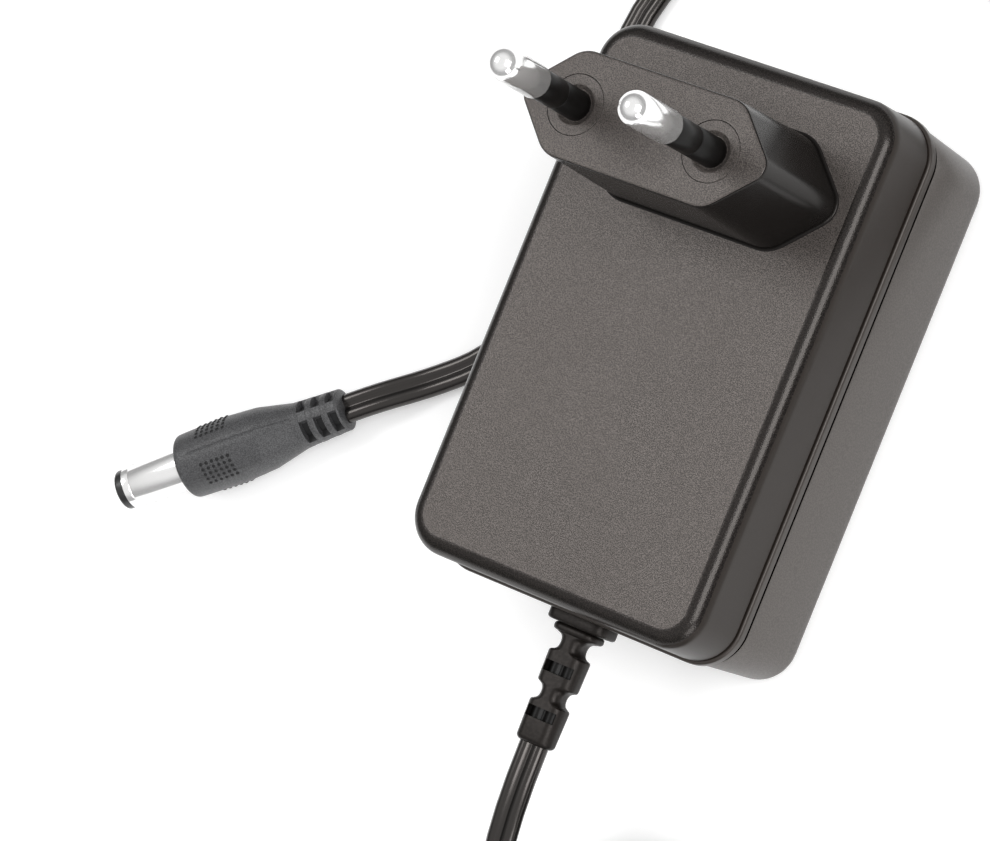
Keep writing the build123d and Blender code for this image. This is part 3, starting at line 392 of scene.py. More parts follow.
def stud_tree() -> tuple[bpy.types.NodeTree, dict[str, str]]:
    """Geometry Nodes that stand a low dome on each point of a patch, along its normal.

    Returns:
        The tree, and the identifier of each input by its name.
    """
    tree = bpy.data.node_groups.new("stud_pads", "GeometryNodeTree")
    tree.is_modifier = True
    face = tree.interface
    face.new_socket(name="Patch", in_out="INPUT", socket_type="NodeSocketGeometry")
    names: dict[str, str] = {}
    kinds = {"Stud Radius": "NodeSocketFloat", "Stud Height": "NodeSocketFloat"}
    kinds["Finish"] = "NodeSocketMaterial"
    for name, kind in kinds.items():
        names[name] = face.new_socket(name=name, in_out="INPUT", socket_type=kind).identifier
    face.new_socket(name="Studs", in_out="OUTPUT", socket_type="NodeSocketGeometry")
    graph = Graph(tree)
    given = graph.node("NodeGroupInput").outputs
    dome = graph.node("GeometryNodeMeshUVSphere", Segments=12, Rings=6, Radius=1.0).outputs["Mesh"]
    radius, height = given["Stud Radius"], given["Stud Height"]
    size = graph.node("ShaderNodeCombineXYZ", X=radius, Y=radius, Z=height).outputs["Vector"]
    normal = graph.node("GeometryNodeInputNormal").outputs["Normal"]
    turn = graph.node("FunctionNodeAlignRotationToVector", axis="Z", Vector=normal).outputs["Rotation"]
    stand = graph.node("GeometryNodeInstanceOnPoints")
    graph.supply(stand, {"Points": given["Patch"], "Instance": dome, "Rotation": turn, "Scale": size})
    real = graph.node("GeometryNodeRealizeInstances", Geometry=stand.outputs["Instances"])
    smooth = graph.node("GeometryNodeSetShadeSmooth", Geometry=real.outputs["Geometry"])
    paint = graph.node("GeometryNodeSetMaterial", Material=given["Finish"])
    graph.supply(paint, {"Geometry": smooth.outputs["Geometry"]})
    graph.node("NodeGroupOutput", Studs=paint.outputs["Geometry"])
    return tree, names


def made_plain(source: bpy.types.Object, name: str) -> bpy.types.Object:
    """Turns an object's evaluated geometry into a plain mesh of its own and removes the source."""
    bpy.context.view_layer.update()
    mesh = bpy.data.meshes.new_from_object(source.evaluated_get(bpy.context.evaluated_depsgraph_get()))
    mesh.name = name
    bpy.data.objects.remove(source)
    made = bpy.data.objects.new(name, mesh)
    bpy.context.scene.collection.objects.link(made)
    return made


class Effects:
    """The shader node groups that several finishes share, each built once."""

    def __init__(self) -> None:
        """Builds the groups."""
        self.grain = mould_grain_group()
        self.handling = handling_group()

    def place(self, graph: Graph, group: bpy.types.NodeTree, **values: float) -> bpy.types.Node:
        """Puts a group into a material with its own values."""
        made = graph.tree.nodes.new("ShaderNodeGroup")
        made.node_tree = group
        for name, value in values.items():
            made.inputs[name.replace("_", " ")].default_value = value
        return made


def start_material(name: str) -> tuple[bpy.types.Material, Graph, bpy.types.Node]:
    """A new material with its graph and its shader."""
    made = bpy.data.materials.new(name)
    made.use_nodes = True
    made.node_tree.nodes.clear()
    graph = Graph(made.node_tree)
    shader = graph.node("ShaderNodeBsdfPrincipled")
    out = graph.node("ShaderNodeOutputMaterial")
    graph.tree.links.new(shader.outputs["BSDF"], out.inputs["Surface"])
    return made, graph, shader


def opaque(color: Color, share: float = 1.0) -> tuple[float, float, float, float]:
    """A colour made lighter or darker by a share, with full alpha."""
    return (*(part * share for part in color), 1.0)


@dataclass(frozen=True)
class Moulded:
    """A moulded plastic or soft PVC with grain.

    Attributes:
        name: The material's name.
        color: Its linear colour.
        roughness: Roughness between the crests.
        grain: Size of the grain in millimetres.
        depth: Height of the grain in millimetres.
        sparkle: How much smoother the crests are and how much lighter they are painted as painted glints,
            with the pits painted darker as painted shade, from 0 to 1.
        uneven: Change of colour and roughness over the piece.
        specular: The shader's specular level.
        sheen: Tint of its reflections.
    """

    name: str
    color: Color
    roughness: float
    grain: float = 0.3
    depth: float = 0.01
    sparkle: float = 0.0
    uneven: float = 0.08
    specular: float = 0.5
    sheen: Color = WHITE

    def material(self, effects: Effects) -> bpy.types.Material:
        """Builds the material."""
        made, graph, shader = start_material(self.name)
        grain = effects.place(graph, effects.grain, Size=self.grain)
        crests = grain.outputs["Crests"]
        cloud = effects.place(graph, effects.handling, Size=16.0).outputs["Mask"]
        tone = graph.blend(cloud, opaque(self.color, 1 - self.uneven), opaque(self.color))
        # Painted glints and painted shade: the grain's crests are painted lighter and its pits darker.
        if self.sparkle:
            tops = opaque(self.color, 1 + PAINTED_GLINT_GAIN * self.sparkle)
            specks = graph.blend(crests, opaque(self.color, 1 - self.sparkle), tops)
            tone = graph.blend(PAINTED_GLINT_SHARE, tone, specks)
        swing = self.uneven / 2
        rough = graph.math("MULTIPLY_ADD", cloud, swing, self.roughness - swing / 2)
        drop = graph.math("MULTIPLY", crests, self.sparkle * CREST_POLISH * self.roughness)
        graph.supply(shader, {"Base Color": tone, "Roughness": graph.math("SUBTRACT", rough, drop)})
        graph.supply(shader, {"Specular IOR Level": self.specular, "Specular Tint": opaque(self.sheen)})
        if self.depth:
            graph.raise_surface(shader, grain.outputs["Height"], self.depth)
        return made


@dataclass(frozen=True)
class Metal:
    """A bright or satin metal with faint brushing and handling marks."""

    name: str
    color: Color
    roughness: float
    marks: float = 0.06
    grain: float = 0.15
    depth: float = 0.0008
    metallic: float = 1.0

    def material(self, effects: Effects) -> bpy.types.Material:
        """Builds the material."""
        made, graph, shader = start_material(self.name)
        cloud = effects.place(graph, effects.handling, Size=3.0).outputs["Mask"]
        tone = graph.blend(cloud, opaque(self.color, 1 - self.marks), opaque(self.color))
        rough = graph.math("MULTIPLY_ADD", cloud, self.marks, self.roughness)
        graph.supply(shader, {"Base Color": tone, "Roughness": rough, "Metallic": self.metallic})
        if self.depth:
            grain = effects.place(graph, effects.grain, Size=self.grain)
            graph.raise_surface(shader, grain.outputs["Height"], self.depth)
        return made


@dataclass(frozen=True)
class Wound:
    """Wire or tape laid in turns: fine ribs that run round an axis of the part's frame."""

    name: str
    color: Color
    gap_color: Color
    axis: int
    pitch: float
    roughness: float
    metallic: float = 0.0

    def material(self, effects: Effects) -> bpy.types.Material:
        """Builds the material."""
        made, graph, shader = start_material(self.name)
        place = graph.node("ShaderNodeTexCoord").outputs["Object"]
        apart = graph.node("ShaderNodeSeparateXYZ", Vector=place)
        phase = graph.math("MULTIPLY", apart.outputs[self.axis], math.tau / (self.pitch * MM))
        rib = graph.math("MULTIPLY_ADD", graph.math("SINE", phase), 0.5, 0.5)
        cloud = effects.place(graph, effects.handling, Size=4.0).outputs["Mask"]
        share = graph.math("MULTIPLY", rib, graph.math("MULTIPLY_ADD", cloud, 0.3, 0.7))
        tone = graph.blend(share, opaque(self.gap_color), opaque(self.color))
        rough = graph.math("MULTIPLY_ADD", rib, -0.15, self.roughness + 0.1)
        graph.supply(shader, {"Base Color": tone, "Roughness": rough, "Metallic": self.metallic})
        graph.raise_surface(shader, rib, 0.3 * self.pitch)
        return made


class Finish(Enum):
    """Every finish on the power supply."""

    CASE_FACE = Moulded(
        "case_face", (0.0565, 0.0494, 0.0455), 0.34,
        grain=0.12, depth=0.024, sparkle=0.95, specular=0.4, sheen=WARM,
    )
    # Painted shade: the fillet band at the front's edge is the case plastic painted much darker, a painted
    # dark reflection.
    CASE_RIM = Moulded(
        "case_rim", (0.009, 0.0076, 0.0068), 0.25,
        grain=0.15, depth=0.014, sparkle=0.8, specular=0.34, sheen=WARM,
    )
    # Painted shade: the front half's sides are the case plastic painted darker than its front.
    CASE_SIDE = Moulded(
        "case_side", (0.017, 0.0134, 0.0112), 0.32,
        grain=0.2, depth=0.0, sparkle=0.06, specular=0.2, sheen=WARM,
    )
    # Painted highlight: the lip bead is the case plastic painted lighter than the sides.
    LIP = Moulded("case_lip_painted_highlight", (0.034, 0.029, 0.026), 0.3, grain=0.2, depth=0.0, specular=0.4, sheen=WARM)
    # Painted shade: the case plastic painted near-black on the plug block's sides, in the pin holes, inside
    # the case and in the rear's shadow gap.
    BLOCK_SIDE = Moulded(
        "block_side", (0.005, 0.0044, 0.004), 0.26,
        grain=0.2, depth=0.0, sparkle=0.05, specular=0.22, sheen=WARM,
    )
    REAR_SIDE = Moulded(
        "rear_side", (0.066, 0.0592, 0.0548), 0.36,
        grain=0.2, depth=0.003, sparkle=0.2, specular=0.4, sheen=WARM,
    )
    SLEEVE = Moulded("pin_sleeve", (0.003, 0.0026, 0.0024), 0.36, grain=0.5, depth=0.0, specular=0.18)
    RELIEF = Moulded(
        "strain_relief_pvc", (0.0066, 0.0053, 0.0046), 0.4,
        grain=0.35, depth=0.008, sparkle=0.3, specular=0.26, sheen=WARM,
    )
    CORD = Moulded(
        "twin_lead_pvc", (0.003, 0.0027, 0.0025), 0.2,
        grain=0.9, depth=0.0, uneven=0.05, specular=0.7, sheen=WARM,
    )
    GRIP = Moulded("plug_grip_pvc", (0.05, 0.05, 0.052), 0.48, grain=0.13, depth=0.008, sparkle=0.6)
    # Painted shade: the grip's PVC painted darker for its slots' floors and its studs.
    GRIP_SHADE = Moulded(
        "plug_grip_painted_shade", (0.014, 0.014, 0.0145), 0.45, grain=0.2, depth=0.0, specular=0.25
    )
    INSULATOR = Moulded("plug_insulator", (0.018, 0.018, 0.018), 0.3, grain=0.3, depth=0.002)
    TIE = Moulded("twist_tie", (0.02, 0.02, 0.02), 0.3, grain=0.4, depth=0.003)
    BOBBIN = Moulded("bobbin_phenolic", (0.02, 0.02, 0.02), 0.5, grain=0.3, depth=0.004)
    EPOXY = Moulded("chip_epoxy", (0.02, 0.02, 0.022), 0.55, grain=0.12, depth=0.006, sparkle=0.1)
    FUSE = Moulded("fuse_case", (0.11, 0.04, 0.016), 0.45, grain=0.4, depth=0.003)
    CERAMIC = Moulded("disc_coat", (0.012, 0.08, 0.3), 0.35, grain=0.8, depth=0.02)
    CAN_SLEEVE = Moulded("capacitor_sleeve", (0.012, 0.014, 0.03), 0.28, grain=1.2, depth=0.004)
    WIRE = Moulded("wire_insulation", (0.62, 0.62, 0.58), 0.4, grain=0.8, depth=0.004)
    FERRITE = Moulded("ferrite", (0.03, 0.03, 0.032), 0.6, grain=0.1, depth=0.008, sparkle=0.3)
    BOARD = Moulded("board_laminate", (0.02, 0.1, 0.035), 0.38, grain=0.5, depth=0.004, uneven=0.2)
    NICKEL = Metal("nickel_plate", (0.92, 0.915, 0.91), 0.14, marks=0.02, depth=0.0, metallic=0.8)
    ALUMINIUM = Metal("heatsink_aluminium", (0.78, 0.79, 0.8), 0.32, marks=0.12)
    COPPER = Wound("copper_turns", (0.75, 0.28, 0.1), (0.2, 0.05, 0.02), 2, 0.35, 0.3, 1.0)
    TAPE = Wound("winding_tape", (0.75, 0.5, 0.04), (0.5, 0.3, 0.02), 1, 1.4, 0.35)


class Workshop:
    """Makes materials once, dresses pieces and puts them on the frame."""

    def __init__(self, nodes: dict[str, bpy.types.Object]) -> None:
        """Starts with the frame's nodes, the shared shader groups and no materials."""
        self.nodes = nodes
        self.effects = Effects()
        self.made: dict[Finish, bpy.types.Material] = {}

    def finish(self, finish: Finish) -> bpy.types.Material:
        """The material of a finish."""
        if finish not in self.made:
            self.made[finish] = finish.value.material(self.effects)
        return self.made[finish]

    def seat(self, piece: bpy.types.Object, slot: str, *nodes: str) -> bpy.types.Object:
        """Puts a piece on the frame in place of CAD nodes and reports it.

        Args:
            piece: The finished object.
            slot: The record's material slot; not used.
            nodes: The nodes that it stands for.

        Returns:
            The piece.
        """
        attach(piece, BODY)
        if nodes:
            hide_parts(*nodes)
        LOG.info("%s: %d faces for %s", piece.name, len(piece.data.polygons), ", ".join(nodes) or "itself")
        return piece

    def make(
        self, form: Form, kinds: Iterable[Finish], slot: str, *nodes: str, crease: float = 35.0
    ) -> bpy.types.Object:
        """Makes a form's piece with its finishes and seats it.

        Args:
            form: The finished form.
            kinds: Its finishes, in the order that its faces number them.
            slot: The record's material slot.
            nodes: The nodes that it stands for.
            crease: Angle in degrees above which an edge stays sharp.

        Returns:
            The piece.
        """
        return self.seat(form.piece([self.finish(kind) for kind in kinds], crease), slot, *nodes)

    def dress(self, finish: Finish, *nodes: str) -> None:
        """Gives CAD nodes that are right as they are their finish."""
        for node in nodes:
            shown = self.nodes[node]
            shown.data.materials.clear()
            shown.data.materials.append(self.finish(finish))
            LOG.info("%s: dressed as %s", node, finish.name.lower())


class Zone(IntEnum):
    """The front half's finishes, in the order of its materials: copies of the case plastic painted darker on
    the sides, rim and block as painted shade and lighter on the lip as a painted highlight.
    """

    FACE = 0
    SIDE = 1
    BLOCK = 2
    RIM = 3
    LIP = 4



@dataclass
class CaseHalves:
    """The two halves of the case and the plug block on the front one."""

    width: float = 41.8
    length: float = 66.8
    corner: float = 5.2
    rear_depth: float = 16.4
    front_depth: float = 10.7
    wall: float = 2.0
    rear_draft: float = 1.8
    front_draft: float = 1.5
    rear_edge: float = 2.5
    front_edge: float = 2.0
    floor_edge: float = 0.8
    lip_height: float = 1.3
    lip_proud: float = 0.3
    lip_edge: float = 0.35
    gap_height: float = 1.1
    gap_depth: float = 0.7
    tongue_height: float = 1.2
    tongue_thickness: float = 0.9
    tongue_clearance: float = 0.1
    block_y: float = 19.75
    block_height: float = 17.2
    block_half_width: float = 17.4
    block_half_height: float = 6.4
    block_corner: float = 3.7
    block_tip: float = 2.1
    block_wall: float = 1.5
    face_wall: float = 2.0
    block_edge: float = 0.3
    block_root: float = 0.35
    hole_radius: float = 3.6
    pin_pitch: float = 18.6
    boss_radius: float = 2.0
    boss_height: float = 2.4
    board_thickness: float = 1.6
    peg_radius: float = 1.0
    peg_head: tuple[Flat, ...] = ((1.6, 0.0), (1.6, 0.4), (1.2, 0.6))
    peg_place: Flat = (15.88, 28.38)
    lip_groove: tuple[Flat, ...] = ((0.3, 0.0), (0.34, 0.08), (0.3, 0.24))
    groove_reach: float = 0.45
    apron: float = 0.15
    lip_chamfer: float = 0.1
    groove_return: float = 0.02
    edge_lead: float = 0.4
    rim_step: int = 5
    block_lead: float = 0.3
    face_angle: int = 72
    hole_chamfer: float = 0.03
    rear_apron: float = 0.2
    rear_lead: float = 0.6
    gap_lead: float = 0.3
    gap_chamfer: float = 0.08
    boss_seat: float = 1.0
    case_steps: int = 14
    block_steps: int = 10
    hole_steps: int = 72
    peg_steps: int = 32

    def case_ring(self, form: Form, inset: float, z: float) -> list[int]:
        """A loop of the case outline, inset from its widest size."""
        width, length = self.width - 2 * inset, self.length - 2 * inset
        return form.ring(at_height(rounded_rectangle(width, length, self.corner - inset, self.case_steps), z))

    def block_ring(self, form: Form, grow: float, z: float) -> list[int]:
        """A loop of the flat plug's outline, grown from its size at the face."""
        half_width = self.block_half_width + grow * math.sqrt(2)
        half_height = self.block_half_height + grow
        shoulder = half_width - half_height
        corners = [(half_width, 0.0), (shoulder, half_height), (-shoulder, half_height)]
        corners += [(-half_width, 0.0), (-shoulder, -half_height), (shoulder, -half_height)]
        blunt, tip = max(0.2, self.block_corner + grow), max(0.2, self.block_tip + grow)
        outline = rounded_polygon(corners, [tip, blunt, blunt, tip, blunt, blunt], self.block_steps)
        return form.ring(at_height([(x, y + self.block_y) for x, y in outline], z))

    def front_side(self) -> list[tuple[float, float, Zone]]:
        """Inset, height and zone of the front half's outer wall, from its lip bead up to its flat front."""
        parting, top = self.rear_depth, self.rear_depth + self.front_depth
        slope = math.tan(math.radians(self.front_draft))
        proud, lip_top = self.lip_proud, parting + self.lip_height
        chamfer = self.lip_chamfer
        side = [(chamfer - proud, parting, Zone.SIDE), (-proud, parting + chamfer, Zone.SIDE)]
        bead = rounding((self.lip_edge - proud, lip_top - self.lip_edge), self.lip_edge, 180, 90, 6)
        side += [(inset, z, Zone.LIP) for inset, z in bead]
        side += [(inset, lip_top + up, Zone.SIDE) for inset, up in self.lip_groove]
        reach = self.groove_reach
        side.append((slope * (self.lip_height + reach) + self.groove_return, lip_top + reach, Zone.SIDE))
        centre_z = top - self.front_edge
        centre = slope * (centre_z - parting) + self.front_edge / math.cos(math.radians(self.front_draft))
        lead = self.edge_lead
        side.append((slope * (centre_z - parting - lead), centre_z - lead, Zone.SIDE))
        edge = rounding((centre, centre_z), self.front_edge, 180 - self.front_draft, 90, 12)
        side += [(inset, z, Zone.SIDE) for inset, z in edge[:self.rim_step]]
        side += [(inset, z, Zone.RIM) for inset, z in edge[self.rim_step:]]
        return [*side, (centre + self.apron, top, Zone.FACE)]

    def block_side(self) -> list[tuple[float, float, Zone]]:
        """Growth, height over the flat front and zone of the plug block's wall, from its foot to its face."""
        slope = math.tan(math.radians(self.front_draft))
        flare, edge, high = self.block_height * slope, self.block_edge, self.block_height
        side = [(flare + self.block_root + self.apron, 0.0, Zone.FACE)]
        for angle in range(0, 91, 15):
            up, out = set_back(self.block_root, angle)
            side.append((flare + out, up, Zone.BLOCK if angle else Zone.FACE))
        side.append((slope * (edge + self.block_lead), high - edge - self.block_lead, Zone.BLOCK))
        for angle in range(0, 91, 18):
            inward, down = set_back(edge, angle)
            side.append((-inward, high - down, Zone.BLOCK if angle < self.face_angle else Zone.FACE))
        return [*side, (-edge - self.apron, high, Zone.FACE)]

    def front(self, shop: Workshop) -> bpy.types.Object:
        """Builds the front half with its lip bead, filleted front and hollow plug block, painted darker on
        its sides, rim, block and inside as painted shade and lighter on the lip bead as a painted highlight.
        """
        form = Form("front_case_shell")
        parting, top = self.rear_depth, self.rear_depth + self.front_depth
        slope = math.tan(math.radians(self.front_draft))
        outer = [(self.case_ring(form, inset, z), zone) for inset, z, zone in self.front_side()]
        form.stack(outer)
        rise = [(self.block_ring(form, grow, top + up), zone) for grow, up, zone in self.block_side()]
        form.stack(rise)
        form.fill([outer[-1][0], rise[0][0]], Zone.FACE)
        hole, face_z = self.hole_radius, top + self.block_height
        face_floor = face_z - self.face_wall
        chamfer = self.hole_chamfer
        levels = ((hole + chamfer, face_z), (hole, face_z - chamfer), (hole, face_floor))
        spots = [(hand * self.pin_pitch / 2, self.block_y) for hand, _ in HANDS]
        holes = [form.post(spot, levels, self.hole_steps, Zone.BLOCK) for spot in spots]
        form.fill([rise[-1][0], *(rings[0] for rings in holes)], Zone.FACE)
        ceiling = top - self.wall
        grow = slope * (self.block_height + self.wall - self.face_wall) - self.block_wall
        core_low = self.block_ring(form, grow, ceiling)
        core_high = self.block_ring(form, -self.block_wall, face_floor)
        form.bridge(core_low, core_high, Zone.BLOCK)
        form.fill([core_high, *(rings[-1] for rings in holes)], Zone.BLOCK)
        groove = self.wall - self.tongue_thickness - self.tongue_clearance
        groove_top = parting + self.tongue_height + self.tongue_clearance
        inner = [(groove, parting), (groove, groove_top)]
        inner += [(self.wall + slope * (z - parting), z) for z in (groove_top, ceiling)]
        inner_rings = [(self.case_ring(form, inset, z), Zone.BLOCK) for inset, z in inner]
        form.stack([outer[0], *inner_rings])
        form.fill([inner_rings[-1][0], core_low], Zone.BLOCK)
        # Painted shade and painted highlight: each zone's finish is the case plastic painted darker or
        # lighter.
        kinds = (Finish.CASE_FACE, Finish.CASE_SIDE, Finish.BLOCK_SIDE, Finish.CASE_RIM, Finish.LIP)
        return shop.make(form, kinds, "case_plastic", "front_case")

    def rear(self, shop: Workshop) -> bpy.types.Object:
        """Builds the rear half: a tapered tray with a rim tongue, a shadow gap painted near-black as painted
        shade, and the four board bosses.
        """
        form = Form("rear_case_shell")
        depth, edge, wall, high = self.rear_depth, self.rear_edge, self.wall, self.tongue_height
        slope = math.tan(math.radians(self.rear_draft))
        centre = slope * (depth - edge) + edge / math.cos(math.radians(self.rear_draft))
        tongue, gap_floor = wall - self.tongue_thickness, depth - self.gap_height
        outside = [(centre + self.rear_apron, 0.0)]
        outside += rounding((centre, edge), edge, 270, 180 + self.rear_draft, 12)
        outside += [(slope * (depth - edge - self.rear_lead), edge + self.rear_lead)]
        outside += [(slope * (self.gap_height + self.gap_lead), gap_floor - self.gap_lead)]
        outside += [(slope * self.gap_height + self.gap_chamfer, gap_floor)]
        gap = [(self.gap_depth, gap_floor), (self.gap_depth, depth), (tongue, depth)]
        inside = [(tongue, depth + high), (wall, depth + high), (wall, depth)]
        inside += [(wall + slope * (depth - wall - self.floor_edge), wall + self.floor_edge)]
        inside += [(wall + slope * (depth - wall) + self.floor_edge, wall)]
        # Painted shade: the shadow gap's faces take the near-black block finish.
        runs = ((outside, 0), (gap, 1), (inside, 0))
        rings = [(self.case_ring(form, inset, z), finish) for run, finish in runs for inset, z in run]
        form.stack(rings)
        form.close(rings[0][0], rings[-1][0])
        board_bottom = wall + self.boss_height
        board_top = board_bottom + self.board_thickness
        levels = [(self.boss_radius, wall - self.boss_seat), (self.boss_radius, board_bottom)]
        levels += [(self.peg_radius, board_bottom), (self.peg_radius, board_top)]
        levels += [(radius, board_top + up) for radius, up in self.peg_head]
        for side_x in (-1, 1):
            for side_y in (-1, 1):
                spot = (side_x * self.peg_place[0], side_y * self.peg_place[1])
                peg = form.post(spot, levels, self.peg_steps)
                form.close(peg[0], peg[-1])
        return shop.make(form, (Finish.REAR_SIDE, Finish.BLOCK_SIDE), "case_plastic", "rear_case")


@dataclass
class MainsPins:
    """The two round pins with their sleeves and the inserts that hold them."""

    pitch: float = 18.6
    tip_pitch: float = 17.4
    length: float = 19.0
    radius: float = 2.0
    core_radius: float = 1.3
    tail: float = 8.0
    sleeve_length: float = 10.0
    sleeve_radius: float = 1.8
    sleeve_seat: float = 3.0
    line_height: float = 5.0
    insert_radius: float = 3.56
    flange_radius: float = 4.1
    flange_thickness: float = 1.5
    insert_depth: float = 6.5
    recess_radius: float = 2.5
    recess_depth: float = 0.3
    face_wall: float = 2.0
    block_y: float = 19.75
    face_z: float = 44.3
    pin_chamfer: float = 0.12
    pin_lead: float = 0.3
    line_depth: float = 0.08
    line_reach: float = 0.15
    sleeve_chamfer: float = 0.1
    insert_chamfer: float = 0.03
    insert_fit: float = 0.02
    core_gap: float = 0.3
    dish_steps: int = 12
    insert_steps: int = 72

    def upright(self, hand: int) -> Matrix:
        """Where a pin leaves the block's face."""
        return Matrix.Translation((hand * self.pitch / 2, self.block_y, self.face_z))

    def leaning(self, hand: int) -> Matrix:
        """The same place, with its own Z along the pin, which leans inwards."""
        lean = math.asin((self.pitch - self.tip_pitch) / 2 / self.length)
        return self.upright(hand) @ Matrix.Rotation(-hand * lean, 4, "Y")

    def pin_profile(self) -> list[Flat]:
        """Radius and height of a pin: a thin core in its sleeve, its full size above it and a ball tip."""
        core, full, seat = self.core_radius, self.radius, self.sleeve_length
        shoulder = self.length - full
        profile = [(0.0, -self.tail), (core, -self.tail), (core, seat)]
        profile += [(full - self.pin_chamfer, seat), (full, seat + self.pin_chamfer)]
        profile += [(full, shoulder - self.pin_lead)]
        profile += rounding((0.0, shoulder), full, 0, 84, 14)
        return [*profile, (0.0, self.length)]

    def sleeve_profile(self) -> list[Flat]:
        """Radius and height of a sleeve, with its faint moulding line."""
        core, outer, line, end = self.core_radius, self.sleeve_radius, self.line_height, self.sleeve_length
        profile = [(core, -self.sleeve_seat), (outer, -self.sleeve_seat)]
        reach = self.line_reach
        profile += [(outer, line - reach), (outer - self.line_depth, line), (outer, line + reach)]
        return [*profile, (outer, end - reach), (outer - self.sleeve_chamfer, end), (core, end)]

    def insert_profile(self) -> list[Flat]:
        """Radius and height of an insert, dished round its sleeve and held by a flange inside the block."""
        edge, wall, flange = self.insert_radius, self.face_wall, self.flange_radius
        deep, low, high = self.recess_depth, self.sleeve_radius + self.insert_fit, self.recess_radius
        profile: list[Flat] = []
        for step in range(self.dish_steps + 1):
            share = step / self.dish_steps
            profile.append((low + (high - low) * share, -deep * (0.5 + 0.5 * math.cos(math.pi * share))))
        chamfer = self.insert_chamfer
        profile += [(edge - chamfer, 0.0), (edge, -chamfer), (edge, -wall), (flange, -wall)]
        profile += [(flange, -wall - self.flange_thickness), (edge, -wall - self.flange_thickness)]
        return [*profile, (edge, -self.insert_depth), (self.core_radius + self.core_gap, -self.insert_depth)]

    def build(self, shop: Workshop) -> None:
        """Builds both pins, sleeves and inserts."""
        for hand, side in HANDS:
            pin = Form(f"bright_pin_{side}", self.leaning(hand))
            pin.lathe(self.pin_profile())
            shop.make(pin, [Finish.NICKEL], "plated_brass", f"mains_pin_{side}", crease=50)
            sleeve = Form(f"black_sleeve_{side}", self.leaning(hand))
            sleeve.lathe(self.sleeve_profile(), closed=True)
            shop.make(sleeve, [Finish.SLEEVE], "sleeve_plastic", f"pin_sleeve_{side}")
            insert = Form(f"round_insert_{side}", self.upright(hand))
            insert.lathe(self.insert_profile(), self.insert_steps, closed=True)
            shop.make(insert, [Finish.CASE_FACE], "case_plastic", f"pin_insert_{side}")


